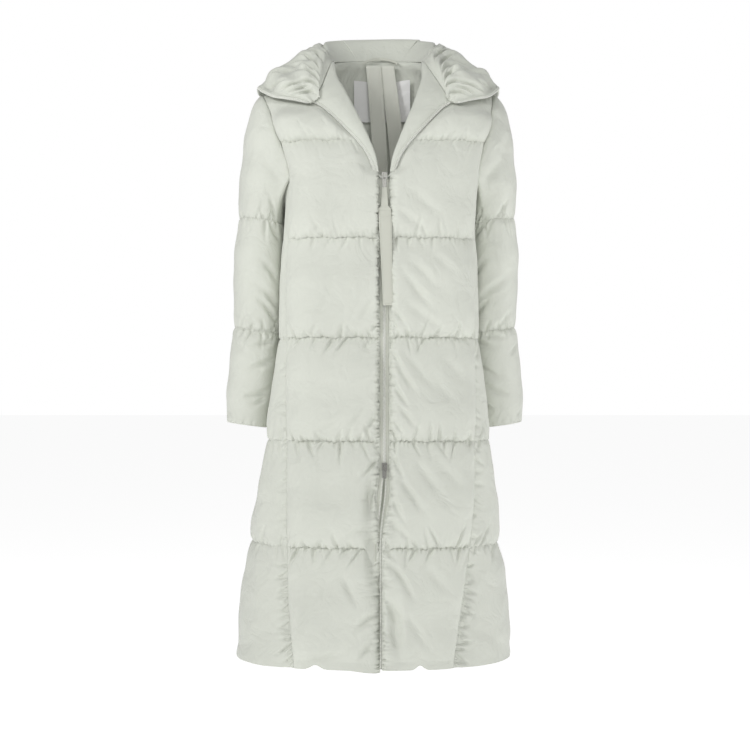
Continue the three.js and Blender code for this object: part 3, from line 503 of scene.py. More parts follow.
def wall_mesh(name, outer, inner, loop=False, step=INSIDE_STEP):
    """A closed wall between two grids. Its outside has every point, and its inside only each step-th one
    away from the rims, where a face takes in all the rim's points."""
    rows, columns = outer.shape[:2]
    ids = np.arange(rows * columns).reshape(rows, columns)
    if loop:
        ids = np.concatenate([ids, ids[:, :1]], axis=1)
    back = ids + rows * columns

    def quads(a):
        """The faces between neighbouring points of a grid of point numbers."""
        return np.stack([a[:-1, :-1], a[:-1, 1:], a[1:, 1:], a[1:, :-1]], axis=-1).reshape(-1, 4)

    faces = [quads(ids)]
    rims = [(ids[0], back[0], True), (ids[-1], back[-1], False)]
    if not loop:
        rims += [(ids[:, 0], back[:, 0], False), (ids[:, -1], back[:, -1], True)]
    for near, far, turned in rims:
        rim = np.stack([near[:-1], near[1:], far[1:], far[:-1]], axis=-1)
        faces.append(rim[:, ::-1] if turned else rim)
    inside = back[::step, ::step]
    edge = 0 if loop else 1
    faces.append(quads(inside[1:-1, edge : inside.shape[1] - edge])[:, ::-1])
    for grid, first in ((back, 0),) if loop else ((back, step), (back.T, step)):
        starts = np.arange(first, grid.shape[1] - 1 - first, step)
        for rim, inward in ((0, step), (-1, -1 - step)):
            strip = [grid[rim, starts + k] for k in range(step + 1)]
            strip = np.stack([*strip, grid[inward, starts + step], grid[inward, starts]], axis=-1)
            faces.append(strip[:, ::-1] if (rim == 0) == (grid is back) else strip)
    for row_way in () if loop else (1, -1):
        for column_way in (1, -1):
            near = back[::row_way, ::column_way]
            corner = np.concatenate([near[step:0:-1, 0], near[0, : step + 1], near[step : step + 1, step]])
            faces.append((corner[::-1] if row_way == column_way else corner)[None])
    used, places_of = np.unique(np.concatenate([group.ravel() for group in faces]), return_inverse=True)
    pieces = np.split(places_of, np.cumsum([group.size for group in faces])[:-1])
    faces = [piece.reshape(group.shape) for piece, group in zip(pieces, faces)]
    across = np.broadcast_to(travelled(outer[rows // 2])[None], (rows, columns))
    up = np.broadcast_to(travelled(outer[:, columns // 2])[:, None], (rows, columns))
    cloth = np.stack([across, up], axis=-1).reshape(-1, 2)
    places = np.concatenate([outer.reshape(-1, 3), inner.reshape(-1, 3)])[used]
    return mesh_of(name, places, faces, np.concatenate([cloth, cloth])[used])


def piece_of(name, mesh, material):
    """An object that rides on the coat. Where its name ends in _cloth, it stands for the solid so named."""
    mesh.materials.append(material)
    piece = bpy.data.objects.new(name, mesh)
    bpy.context.scene.collection.objects.link(piece)
    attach(piece, "coat")
    if name.endswith("_cloth"):
        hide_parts(name.removesuffix("_cloth"))
    return piece


def cloth_wall(name, outer, inner, sign, material=shell, loop=False):
    """The piece of a cloth wall between two grids, on the wearer's left (1, as for one in the middle) or
    right (-1)."""
    mesh = wall_mesh(name, sway(outer, sign), sway(inner, sign), loop)
    return piece_of(f"{name}_cloth", mesh, material)


def seam_share(distance):
    """Share of the creases left beside a seam: none half a millimetre from it, all from 6.5 mm."""
    return ease((distance - 0.5) / 6)


def draw_in(grid, edges):
    """Moves the named edges of a grid back by half a seam's gap."""
    for edge in edges:
        rows = grid if edge in ("bottom", "top") else grid.swapaxes(0, 1)
        if edge in ("bottom", "start"):
            rows[0] += unit(rows[1] - rows[0]) * SEAM_GAP / 2
        else:
            rows[-1] -= unit(rows[-1] - rows[-2]) * SEAM_GAP / 2


def padded_wall(name, base, normals, total, moved, edges, sign, loop=False):
    """A padded piece: its outside stands out from the stitched surface by the total and its inside lies a
    wall behind it, both moved alike, with the named edges drawn in."""
    outer = base + normals * total[..., None]
    inner = base - normals * WALL
    for grid in (outer, inner):
        grid += moved
        draw_in(grid, edges)
    cloth_wall(name, outer, inner, sign, loop=loop)


def seam_dip(distance):
    """Cloth drawn down into a seam: 0.9 · exp(-(distance / 1.3)²)."""
    return SEAM_DIP * np.exp(-((distance / SEAM_DIP_WIDTH) ** 2))


def low_rows(count):
    """Heights and chamber shares of the rows from the hem to the chest line."""
    shares = np.tile(clustered(count), CHEST_LINE)
    start = np.repeat(STITCH_Z[:CHEST_LINE], count)
    rise = np.repeat(np.diff(STITCH_Z[: CHEST_LINE + 1]), count)
    return start + rise * shares, shares


CHEST_SPAN = STITCH_Z[CHEST_LINE + 1] - STITCH_Z[CHEST_LINE]
BODICE_START = (BODICE_Z - STITCH_Z[CHEST_LINE]) / CHEST_SPAN


def bodice_chamber(v):
    """Height of the down over the chest: the rest of the chest chamber, then the yoke, flattened where the
    hood and lapels lie on it."""
    low = lerp(BODICE_START, 1, v / YOKE_SHARE)
    share = np.where(v <= YOKE_SHARE, low, (v - YOKE_SHARE) / (1 - YOKE_SHARE))
    return chamber(share) * (1 - ease((v - COVERED_FROM) / 0.2))


def in_sight(v):
    """Share of the creases that is left as the chest or the upper back runs in under the hood."""
    return 1 - ease((v - CREASED_TO) / 0.1)


def front_grid():
    """The front's stitched surface, and on it the height of the down before its edges are drawn in. Where
    the chest starts, its rows are evened out: each moves half way to the mean of its neighbours."""
    u = np.append(clustered(FRONT_COLUMNS, COLUMN_PULL), 1)[None]
    z, f = low_rows(ROWS_A_CHAMBER)
    ring = read(BODY_RINGS, "z", z)
    low = front_at(lerp(zip_edge(z)[:, None], ring["front_seam"][:, None], u), z[:, None])
    r = (np.arange(RISER_ROWS) / RISER_ROWS)[:, None]
    riser_z = lerp(float(STITCH_Z[CHEST_LINE]), lerp(float(ROLL_LINE["z"][0]), BODICE_Z, u), r)
    riser_x = lerp(ZIP_HALF, read(BODY_RINGS, "z", riser_z)["front_seam"], u)
    riser = front_at(riser_x, riser_z)
    v = np.linspace(0, 1, BODICE_ROWS + 1)[:, None]
    chest = front_bodice(u, v)
    joint_z = lerp(float(ROLL_LINE["z"][0]), BODICE_Z, u)
    apart = chest[:1] - front_at(lerp(ZIP_HALF, BODY_RINGS["front_seam"][-1], u), joint_z)
    riser = riser + apart * r[..., None] ** 2
    under = read(LAPEL, "up", np.minimum(v, LAPEL_TOP))["across"]
    beside = lerp(1, ease((u - under) / BESIDE_LAPEL), ease(v / LAPEL_CALM_V))
    height = np.concatenate(
        [
            np.broadcast_to(chamber(f)[:, None], low.shape[:2]),
            np.broadcast_to(chamber(r * BODICE_START), riser.shape[:2]),
            bodice_chamber(v) * beside,
        ]
    )
    free = np.ones(height.shape)
    loose = lerp(1, ease((u - under - 0.02) / 0.1), ease(v / LAPEL_CALM_V))
    free[-len(v) :] = loose * in_sight(v)
    base = np.concatenate([low, riser, chest])
    joint_row = len(low) + RISER_ROWS
    joint = base[joint_row - FRONT_EVENED_ROWS : joint_row + FRONT_EVENED_ROWS]
    inside = 1 - ease((u[..., None] - 0.98) / 0.02)
    for _ in range(FRONT_EVENING_ROUNDS):
        joint[1:-1] += (joint[:-2] - 2 * joint[1:-1] + joint[2:]) / 4 * inside
    return base, height, free


CREASE_DEPTH = 2.4
ZIP_MARGIN = 1.8
SEAM_RUN = 38
CALMER_FROM_Z = -640
CALMER_RUN = 330
CALM_SHARE = 0.5
CLOSING_DROP = 44
CLOSING_RUN = 90
FRONT_CLOSING = {"l": 9.5, "r": 9.6}
FRONT_CLOSING_OUT = {"l": 3.8, "r": -5}
FRONT_CLOSING_REACH = {"l": 16, "r": 13}
SLACK_EDGE = {"l": 0, "r": 34, "z": -850, "reach": 115}
HEM_NOTCHES = {"l": [(62, 9, 8)], "r": [(92, 10, 8), (2, 26, -6)]}


def closing(z):
    """How far the fronts have come together again under the lower slider's opening."""
    return ease((LOWER_SLIDER_Z - CLOSING_DROP - z) / CLOSING_RUN)


def calmer(z):
    """Share of their depth that the scallops keep: the chest lies calmer than the knee."""
    return lerp(1, CALM_SHARE, ease((z - CALMER_FROM_Z) / CALMER_RUN))


# Ranges for puckers(): spacing, length, slant, width and depth
SHORT_SCALLOPS = ((6, 11), (6, 15), (-0.3, 0.3), (1.5, 2.5), (0.6, 1.6))
LONG_WRINKLES = ((14, 32), (18, 56), (-0.7, 0.7), (2.4, 4.4))
LONG_WRINKLE_DEPTH = (0.9, 2.6)
ZIP_SCALLOPS = ((5, 11), (8, 24), (-0.6, 0.3), (1.5, 2.6), (0.5, 1.3))


def stitched_puckers(random, lines, left, right, strength):
    """Short scallops and longer wrinkles on both sides of each stitching line across a panel."""
    rows = []
    deep = [depth * strength for depth in LONG_WRINKLE_DEPTH]
    for z in lines:
        for side in (1, -1):
            ends = ((left, z), (right, z))
            rows += puckers(random, *ends, *SHORT_SCALLOPS, side)
            rows += puckers(random, *ends, *LONG_WRINKLES, deep, side)
    return rows


# Drags on the wearer's left front, pulled down and outwards from the zip, as rows for furrows()
LEFT_DRAGS = [
    (4, -474, 38, -520, 4.5, 1.8, 0.3), (2, -492, 22, -528, 3.0, 1.6, 0.4),
    (30, -380, 100, -452, 9, 1.3, 0.5), (14, -398, 92, -496, 8, 1.5, 0.5),
    (24, -462, 118, -530, 9, 1.4, 0.4), (60, -366, 140, -430, 10, 1.0, 0.5),
    (2, -548, 34, -600, 4.5, 1.9, 0.35), (6, -566, 60, -642, 6, 1.7, 0.4),
    (20, -545, 110, -650, 9, 1.5, 0.45), (2, -600, 44, -668, 5, 2.0, 0.35),
    (10, -640, 66, -706, 6, 1.6, 0.4), (54, -560, 140, -672, 10, 1.2, 0.5),
    (4, -668, 30, -706, 4, 1.7, 0.4), (90, -548, 150, -620, 10, 1.0, 0.5),
    (4, -730, 36, -796, 5, 2.0, 0.3), (8, -762, 78, -852, 7, 1.8, 0.4),
    (3, -800, 40, -872, 5, 2.1, 0.35), (36, -724, 120, -842, 9, 1.4, 0.5),
    (70, -722, 148, -808, 10, 1.1, 0.5), (2, -842, 52, -894, 6, 1.7, 0.4),
    (2, -912, 44, -968, 6, 2.2, 0.3), (16, -930, 60, -1000, 7, 1.7, 0.45),
    (60, -915, 130, -990, 10, 1.3, 0.45), (6, -975, 26, -1040, 5, 2.4, 0.4),
    (28, -1000, 92, -1086, 9, 1.3, 0.5), (10, -300, 84, -352, 8, 1.2, 0.4),
    (26, -262, 116, -330, 9, 1.0, 0.5), (16, -940, 26, -1104, 11, 4.4, 0.6),
    (14, -800, 20, -905, 10, 2.2, 0.6),
]
# Softer ones on the wearer's right front, which hangs more freely
RIGHT_DRAGS = [
    (3, -505, 26, -528, 4, 1.8, 0.3), (6, -452, 46, -520, 6, 1.0, 0.5),
    (70, -420, 120, -525, 10, 0.7, 0.5), (3, -660, 34, -706, 5, 2.2, 0.35),
    (14, -640, 62, -702, 7, 1.2, 0.5), (52, -668, 116, -708, 8, 1.2, 0.5),
    (9, -868, 11, -764, 7, 4.4, 0.5), (6, -975, 10, -832, 6.5, 3.6, 0.5),
    (3, -738, 40, -786, 5, 2.6, 0.3), (2, -790, 26, -820, 5, 2.2, 0.3),
    (4, -850, 60, -890, 7, 1.5, 0.4), (2, -1002, 40, -1046, 6, 2.6, 0.35),
    (4, -1040, 30, -1096, 5, 2.2, 0.5), (60, -940, 24, -1010, 7, 1.6, 0.5),
    (40, -1072, 110, -1094, 6, 1.5, 0.5), (90, -950, 130, -1060, 9, 1.1, 0.5),
    (70, -760, 130, -860, 10, 0.8, 0.5),
]


def front_panel(side_name, sign, seed, drags, overhang):
    """One front: the stitched surface moved out by the down, less its seams, scallops and drags. Along the
    zip the down stands up steeply from a ragged edge."""
    random = np.random.default_rng(seed)
    base, height, free = front_grid()
    normals = grid_normals(base)
    from_zip = from_first(base)
    to_seam = from_zip[:, -1:] - from_zip
    z = base[..., 2]
    ragged = ripple(random, z, [(4.7, 0.7), (6.6, 0.9), (11.3, 0.8), (29, 0.8)])
    height = np.maximum(height, hanging(z))
    below = (z - SLACK_EDGE["z"]) / SLACK_EDGE["reach"]
    run = overhang + SLACK_EDGE[side_name] * np.exp(-(below**2))
    puff = BODY_PUFF * height * swell(from_zip, ZIP_MARGIN + ragged, run) * swell(to_seam, 0, SEAM_RUN)
    slow = ripple(random, z, [(83, 0.7), (147, 0.9)]) + ripple(random, from_zip, [(71, 0.6), (118, 0.7)])
    rows = stitched_puckers(random, STITCH_Z[1:-1], 0, 170, 1.0)
    rows += stitched_puckers(random, STITCH_Z[-1:], 20, 160, 0.4)
    rows += puckers(random, (0, -1100), (0, -262), *ZIP_SCALLOPS, -1)
    creases = (furrows(from_zip, z, rows) * calmer(z) + furrows(from_zip, z, drags)) * CREASE_DEPTH
    edge = seam_share(to_seam) * ease(from_zip / 3)
    total = puff + (slow * height + creases) * edge * free - seam_dip(to_seam) * free
    near = closing(z) * np.exp(-((from_zip / FRONT_CLOSING_REACH[side_name]) ** 2))
    over_hem = np.exp((STITCH_Z[0] - z) / 30)
    waved = waver(random, from_zip, z, STITCH_Z[1:]) * edge * free
    notches = HEM_NOTCHES[side_name]
    lifted = sum(rise * np.exp(-(((from_zip - at) / wide) ** 2)) for at, wide, rise in notches)
    inwards, outwards = -FRONT_CLOSING[side_name] * near, -FRONT_CLOSING_OUT[side_name] * near
    moved = points(inwards, outwards, lifted * over_hem + waved)
    padded_wall(f"front_panel_{side_name}", base, normals, total, moved, ("end", "top"), sign)


front_panel("l", 1, 11, LEFT_DRAGS, overhang=17)
front_panel("r", -1, 12, RIGHT_DRAGS, overhang=6)

# Side panels
# Each side runs under the arm from the front seam to the back seam. The hanging arm presses it flat, and
# below the arm it is free and full, gathered a little into the front seam.
PRESS_Y = 5
PRESS_REACH = 88
PRESS_FLAT = 18
PRESSED_REST = 0.15
SIDE_PUFF_SHARE = 0.85
FRONT_SEAM_RUN = 22
RISER_CREASES = 0.35
UNDERARM_Z = -292
UNDERARM_FLARE = 8
# Gathers beside the front seam: from and to this height, then puckers()'s own ranges
SIDE_GATHERS = [
    (-1104, -925, (7, 12), (16, 38), (-0.9, 0.1), (2.2, 3.6), (2.2, 4.4)),
    (-905, -560, (12, 26), (12, 34), (-0.8, 0.2), (2.2, 4.0), (0.7, 1.8)),
]
SIDE_COLUMNS = 96
SIDE_ROWS = 88
SIDE_RISERS = 40


def pressed_at(y):
    """Share of the arm's pressure at a depth: max(0, 1 - ((y - 5) / 88)²)²."""
    return np.maximum(0, 1 - ((y - PRESS_Y) / PRESS_REACH) ** 2) ** 2


def ring_point(angle, z):
    """The body's ring at an angle, -90 degrees in front: a superellipse, less the arm's pressure."""
    ring = read(BODY_RINGS, "z", z)
    depth = np.where(angle < 0, ring["front"], ring["back"])
    n = ring["square"]
    c, s = np.cos(angle), np.sin(angle)
    radius = ((np.abs(c) / ring["half"]) ** n + (np.abs(s) / depth) ** n) ** (-1 / n)
    y = radius * s
    return points(radius * c - ring["press"] * pressed_at(y), y, z)


def seam_angle(z, seam, depth, sign):
    """The angle of a seam on the ring at a height."""
    ring = read(BODY_RINGS, "z", z)
    return np.arctan2(ring_depth(ring[seam], ring, sign * ring[depth]), ring[seam])


def side_at(z, s):
    """A share s of the way round the side at a height, from the front seam to the back seam."""
    start = seam_angle(z, "front_seam", "front", -1)
    return ring_point(lerp(start, seam_angle(z, "back_seam", "back", 1), s), z)


def side_grid():
    """The side's stitched surface, the height of its down, and how many of its rows are stitched."""
    s = np.append(clustered(SIDE_COLUMNS, COLUMN_PULL), 1)[None]
    bulge = np.clip(np.sin(np.pi * s), 0, 1)
    z, f = low_rows(SIDE_ROWS)
    z, f = z[:, None], f[:, None]
    low = side_at(z, s)
    pressed = read(BODY_RINGS, "z", z)["press"] * pressed_at(low[..., 1])
    free = lerp(1, PRESSED_REST, np.clip(pressed / PRESS_FLAT, 0, 1))
    height = SIDE_PUFF_SHARE * free * chamber(f) * bulge**1.2
    r = (np.arange(SIDE_RISERS + 1) / SIDE_RISERS)[:, None]
    top = lerp(BODICE_Z, UNDERARM_Z, bulge**0.8)
    riser = side_at(lerp(float(STITCH_Z[CHEST_LINE]), top, r), s)
    riser[..., 0] += UNDERARM_FLARE * r**3 * bulge
    return np.concatenate([low, riser]), np.concatenate([height, np.zeros(riser.shape[:2])]), len(low)


def side_panel(side_name, sign, seed):
    """One side, with its seam puckers: gathers against the front seam under the thigh, and scallops along
    each stitching line."""
    random = np.random.default_rng(seed)
    base, height, low_count = side_grid()
    normals = grid_normals(base)
    across = from_first(base)
    to_back = across[:, -1:] - across
    z = base[..., 2]
    slow = ripple(random, z, [(61, 0.5), (113, 0.7)]) + ripple(random, across, [(57, 0.5), (97, 0.5)])
    rows = stitched_puckers(random, STITCH_Z[1:CHEST_LINE], 0, 240, 0.9)
    for low_z, high_z, *gathers in SIDE_GATHERS:
        rows += puckers(random, (0, low_z), (0, high_z), *gathers, -1)
    creases = furrows(across, z, rows) * CREASE_DEPTH
    height = np.maximum(height, hanging(z) * ease(np.minimum(across, to_back) / 60))
    edge = seam_share(to_back) * ease((across - 0.3) / 2.5)
    risen = np.ones(z.shape)
    risen[low_count:] = RISER_CREASES
    uneven = (slow * np.minimum(1, height * 1.6) + creases) * edge * risen
    total = BODY_PUFF * height * swell(across, 0, FRONT_SEAM_RUN) * swell(to_back, 0, SEAM_RUN)
    total += uneven - seam_dip(np.minimum(across, to_back))
    moved = points(0, 0, waver(random, across, z, STITCH_Z[1:CHEST_LINE]) * edge)
    padded_wall(f"side_panel_{side_name}", base, normals, total, moved, ("start", "end", "top"), sign)


side_panel("l", 1, 21)
side_panel("r", -1, 22)

# Back panel
# One piece from side seam to side seam, stitched across at the same heights as the fronts, and cut up to
# the shoulder seams and the neck, where the hood is sewn on.
NECK_BACK = (82, 0)
BACK_COLUMNS = 136
BACK_ROWS = 72
BACK_RISERS = 40
BACK_BODICE = 96
BACK_DRAGS = 5
BACK_SEAM_RUN = 40


def back_top(x):
    """The shoulder seam and the back of the neck: straight out to the shoulder's tip, and a quarter
    ellipse round the neck."""
    out = np.clip((x - NECK_SIDE[0]) / (SHOULDER_TIP[0] - NECK_SIDE[0]), 0, 1)
    round_neck = np.sqrt(1 - np.clip(x / NECK_SIDE[0], 0, 1) ** 2)
    ends = zip(NECK_SIDE[1:], SHOULDER_TIP[1:], NECK_BACK)
    return [np.where(out > 0, lerp(side, tip, out), lerp(side, mid, round_neck)) for side, tip, mid in ends]


def back_at(u, z):
    """The back of the body's ring at a height, a share u of the way from its middle to its seam."""
    ring = read(BODY_RINGS, "z", z)
    x = u * ring["back_seam"]
    return points(x, ring_depth(np.abs(x), ring, ring["back"]), z)


def back_bodice(u, v):
    """Upper back, from its middle (u 0) to the armhole (u 1), as the chest is."""
    top_y, top_z = back_top(np.abs(u) * SHOULDER_TIP[0])
    ring = read(BODY_RINGS, "z", float(BODICE_Z))
    low = ring_depth(np.abs(u) * ring["back_seam"], ring, ring["back"])
    x = u * lerp(ring["back_seam"], SHOULDER_TIP[0], v)
    return points(x, lerp(low, top_y, turn_in(v)), bodice_z(v, top_z))


def back_grid():
    """The back's stitched surface from the wearer's left seam (u 1) to the right one (u -1)."""
    u = (1 - 2 * np.append(clustered(BACK_COLUMNS, COLUMN_PULL), 1))[None]
    z, f = low_rows(BACK_ROWS)
    f = f[:, None]
    r = (np.arange(BACK_RISERS) / BACK_RISERS)[:, None]
    low, riser = (back_at(u, at) for at in (z[:, None], lerp(float(STITCH_Z[CHEST_LINE]), BODICE_Z, r)))
    v = np.linspace(0, 1, BACK_BODICE + 1)[:, None]
    upper = back_bodice(u, v)
    height = np.concatenate(
        [
            np.broadcast_to(chamber(f), low.shape[:2]),
            np.broadcast_to(chamber(r * BODICE_START), riser.shape[:2]),
            np.broadcast_to(bodice_chamber(v), upper.shape[:2]),
        ]
    )
    free = np.ones(height.shape)
    free[-len(v) :] = in_sight(v)
    return np.concatenate([low, riser, upper]), height, free


def back_panel():
    """The back: the stitched surface moved out by the down, less its seams, scallops and a few drags."""
    random = np.random.default_rng(31)
    base, height, free = back_grid()
    normals = grid_normals(base)
    across = from_first(base)
    to_seam = np.minimum(across, across[:, -1:] - across)
    z = base[..., 2]
    slow = ripple(random, z, [(83, 0.7), (147, 0.9)]) + ripple(random, across, [(79, 0.6), (131, 0.8)])
    rows = stitched_puckers(random, STITCH_Z[1:], 0, 340, 1.0)
    for line in np.repeat(STITCH_Z[1:-1], BACK_DRAGS):
        a = random.uniform(30, 290)
        drop = random.uniform(60, 120)
        aside = random.uniform(-60, 60)
        rows.append((a, line - 12, a + aside, line - drop, 9, random.uniform(0.8, 1.6), 0.4))
    creases = furrows(across, z, rows) * CREASE_DEPTH
    height = np.maximum(height, hanging(z))
    edge = seam_share(to_seam)
    total = BODY_PUFF * height * swell(to_seam, 0, BACK_SEAM_RUN) + (slow * height + creases) * edge * free
    total -= seam_dip(to_seam) * free
    moved = points(0, 0, waver(random, across, z, STITCH_Z[1:]) * edge * free)
    padded_wall("back_panel", base, normals, total, moved, ("start", "end", "top"), 1)


back_panel()

# Sleeves
# Each sleeve is set into the armhole and hangs close to the side, stitched across at the upper arm and
# under the elbow. Its inner side is crushed against the body into slanting folds.
SLEEVE_CREASE_DEPTH = 1.8
SLEEVE_PUFF = 7
SLEEVE_RINGS = {
    "z": [-316, -430, -517, -600, -690],
    "x": [211, 212, 215, 222, 235],
    "y": [14, 18, 21, 23, 25],
    "half_x": [42, 45, 44, 43, 39],
    "half_y": [78, 75, 69, 63, 56],
}
SLEEVE_SQUARE = 2.3
SLEEVE_STITCH_Z = [-316, -517, -690]
SLEEVE_TILT = 0.14
SLEEVE_MIDDLE_X = 215
CAP_REACH = 85
CAP_FALL = 150
CAP_HEIGHT = 180
CAP_SLOPE = 0.45
CAP_ROWS = 96
CAP_PLAIN_ROWS = 12
CAP_DIP_ROWS = 8
SLEEVE_ROWS = 84
SLEEVE_COLUMNS = 168


def armhole_line():
    """The armhole of the wearer's left: down the front's edge, round under the arm, and up the back's
    edge, at even steps, with each point's angle on the sleeve, half a turn at the middle under the arm."""
    down = front_grid()[0][-BODICE_ROWS - 1 :, -1][::-1]
    under = side_grid()[0][-1]
    up = back_grid()[0][-BACK_BODICE - 1 :, 0]
    line = np.concatenate([down, under[1:-1], up])
    middle_at = travelled(line)[len(down) - 1 + len(under) // 2]
    gone = travelled(line)
    even = np.arange(SLEEVE_COLUMNS) / SLEEVE_COLUMNS * gone[-1]
    places = np.stack([np.interp(even, gone, line[:, k]) for k in range(3)], axis=-1)
    first = np.pi * even / middle_at
    second = np.pi * (1 + (even - middle_at) / (gone[-1] - middle_at))
    return places, np.where(even < middle_at, first, second)


def sleeve_point(angle, z):
    """A sleeve ring: a superellipse about its middle, tilted so that its outer side is higher."""
    ring = read(SLEEVE_RINGS, "z", z)
    c, s = np.cos(angle), -np.sin(angle)
    power = 2 / SLEEVE_SQUARE
    x = ring["half_x"] * np.sign(c) * np.abs(c) ** power
    y = ring["half_y"] * np.sign(s) * np.abs(s) ** power
    return points(ring["x"] + x, ring["y"] + y, z + SLEEVE_TILT * x)


def sleeve_grid():
    """The cap, a cubic from the armhole outwards and down to the first ring, and the rings under it."""
    armhole, angle = armhole_line()
    t = clustered(CAP_ROWS)[:, None, None]
    end = sleeve_point(angle, SLEEVE_RINGS["z"][0] * np.ones(len(angle)))
    share = np.minimum(1, (armhole[:, 2] - end[:, 2]) / CAP_HEIGHT)[:, None]
    leaving = np.array([1, 0, -CAP_SLOPE]) * CAP_REACH * share
    cap = cubic(t, armhole, leaving, end, np.array([0, 0, -1]) * CAP_FALL * share)
    puff = [chamber(t[..., 0]) * np.clip((armhole[:, 2] - UNDERARM_Z) / 120, 0, 1)]
    grids = [cap]
    full = lerp(0.35, 1, (1 + np.cos(angle)) / 2)
    for high, low in zip(SLEEVE_STITCH_Z, SLEEVE_STITCH_Z[1:]):
        f = clustered(SLEEVE_ROWS)[:, None]
        if low == SLEEVE_STITCH_Z[-1]:
            f = np.append(f, [[1.0]], axis=0)
        grids.append(sleeve_point(angle[None], lerp(float(high), low, f)))
        puff.append(chamber(f) * full)
    return np.concatenate(grids), np.concatenate(puff), angle


# Folds crushed into a sleeve, as rows for furrows(): mm around the arm from its outer side towards the
# front, and height
SLEEVE_FOLDS = [
    (100, -300, 150, -350, 7, 2.6, 0.6), (92, -372, 150, -420, 7, 2.4, 0.6),
    (70, -420, 146, -470, 8, 2.6, 0.6), (84, -448, 150, -500, 6, 3.0, 0.6),
    (40, -470, 96, -512, 6, 1.8, 0.6), (60, -532, 130, -520, 5, 1.8, 0.5),
    (30, -540, 84, -566, 6, 1.6, 0.4), (84, -556, 146, -536, 6, 2.6, 0.6),
    (70, -600, 148, -566, 7, 3.0, 0.6), (60, -640, 146, -606, 7, 3.2, 0.6),
    (96, -660, 146, -634, 6, 2.6, 0.6), (20, -655, 60, -672, 6, 1.2, 0.5),
    (70, -210, 130, -262, 9, 2.0, 0.5), (50, -150, 96, -230, 10, 1.6, 0.5),
    (-60, -470, -110, -440, 8, 2.0, 0.5), (-70, -620, -130, -580, 8, 2.4, 0.5),
    (-60, -340, -120, -380, 8, 2.0, 0.5), (-90, -260, -130, -300, 9, 1.8, 0.5),
]
ARM_ROUND = 60
CUFF_GATHERS = ((12, 24), (8, 22), (-0.4, 0.4), (3, 5), (0.4, 0.9))


def sleeve(side_name, sign, seed):
    """One sleeve: the rings moved out by the down, less scallops at its stitching lines and its folds."""
    random = np.random.default_rng(seed)
    base, height, angle = sleeve_grid()
    normals = grid_normals(base, loop=True)
    around = np.where(angle <= np.pi, angle, angle - 2 * np.pi) * ARM_ROUND
    around = np.broadcast_to(around, base.shape[:2])
    z = base[..., 2] - SLEEVE_TILT * (base[..., 0] - SLEEVE_MIDDLE_X)
    half_round = np.pi * ARM_ROUND
    rows = stitched_puckers(random, SLEEVE_STITCH_Z[:2], -half_round, half_round, 1.1)
    at_cuff = [(side * half_round, SLEEVE_STITCH_Z[-1]) for side in (-1, 1)]
    rows += puckers(random, *at_cuff, *CUFF_GATHERS, 1)
    jitter = random.uniform(-9, 9, (len(SLEEVE_FOLDS), 2))
    folds = [
        (a0 + da, z0 + dz, a1 + da, z1 + dz, wide, deep, peak)
        for (a0, z0, a1, z1, wide, deep, peak), (da, dz) in zip(SLEEVE_FOLDS, jitter)
    ]
    slow = ripple(random, z, [(67, 0.7), (121, 0.9)])
    slow = slow + ripple(random, around, [(90, 0.6), (2 * half_round, 0.8)])
    creases = furrows(around, z, rows + folds) * SLEEVE_CREASE_DEPTH
    start = ease((np.arange(len(base)) - 1) / CAP_PLAIN_ROWS)[:, None]
    dip = np.zeros(len(base))
    dip[:CAP_DIP_ROWS] = seam_dip(np.linspace(0, 6, CAP_DIP_ROWS)) * 0.5
    total = SLEEVE_PUFF * height + (slow * height + creases) * start - dip[:, None]
    moved = points(0, 0, waver(np.random.default_rng(seed), around, z, SLEEVE_STITCH_Z[:2]))
    padded_wall(f"sleeve_{side_name}", base, normals, total, moved, ("bottom",), sign, loop=True)


sleeve("l", 1, 41)
sleeve("r", -1, 42)

# Lapels
# The open top of each front rolls outwards along its zip, and the facing of plain cloth shows on it. Its
# outer edge carries the open half of the zip, and the facing is gathered a little beside it.
LAPEL_WALL = 2.5
LAPEL_ROLL = 5
LAPEL_SEAT = 1.8
LAPEL_COLUMNS = 40
LAPEL_ROWS = 200
LAPEL_GATHERS = ((4.5, 8), (6, 16), (-0.9, -0.3), (1.2, 1.9), (0.3, 0.8))


def front_out(u, v):
    """The front's outward normal, from points a hundredth of its width and height away."""
    step = 0.01
    high = np.minimum(v + step, 1)
    right = front_bodice(u + step, v) - front_bodice(u, v)
    return unit(np.cross(right, front_bodice(u, high) - front_bodice(u, high - step)))


def lapel_place(roll, t):
    """Where a point of the lapel lies on the front: a share t from the roll line to the lapel's edge."""
    edge = read(LAPEL, "roll", roll)
    return edge["across"] * t, lerp(roll, edge["up"], t)


def lapel_point(roll, t, lift):
    """The lapel lies on the front with a soft roll between its edges: 5 · sin(πt)^0.7 where it is wide."""
    u, v = lapel_place(roll, t)
    far_u, far_v = lapel_place(roll, np.ones_like(t))
    width = np.linalg.norm(front_bodice(np.zeros_like(roll), roll) - front_bodice(far_u, far_v), axis=-1)
    bulge = LAPEL_ROLL * np.minimum(1, width / 40) * np.clip(np.sin(np.pi * t), 0, 1) ** 0.7
    seat = lerp(SEAM_GAP, LAPEL_SEAT, ease(t / 0.12))
    return front_bodice(u, v) + front_out(u, v) * (seat + bulge + lift)[..., None]


def cut_of(grid):
    """The flat cut of a sheet in metres: its longest row, or twice its area over its length where its rows
    slant, then its longest column, and its area."""
    length = max(travelled(column)[-1] for column in grid.transpose(1, 0, 2))
    a, b = np.diff(grid, axis=1)[:-1], np.diff(grid, axis=0)[:, :-1]
    area = np.linalg.norm(np.cross(a, b), axis=-1).sum()
    width = min(max(travelled(row)[-1] for row in grid), 2 * area / length)
    return (width * MM, length * MM), min(area, width * length) * MM**2


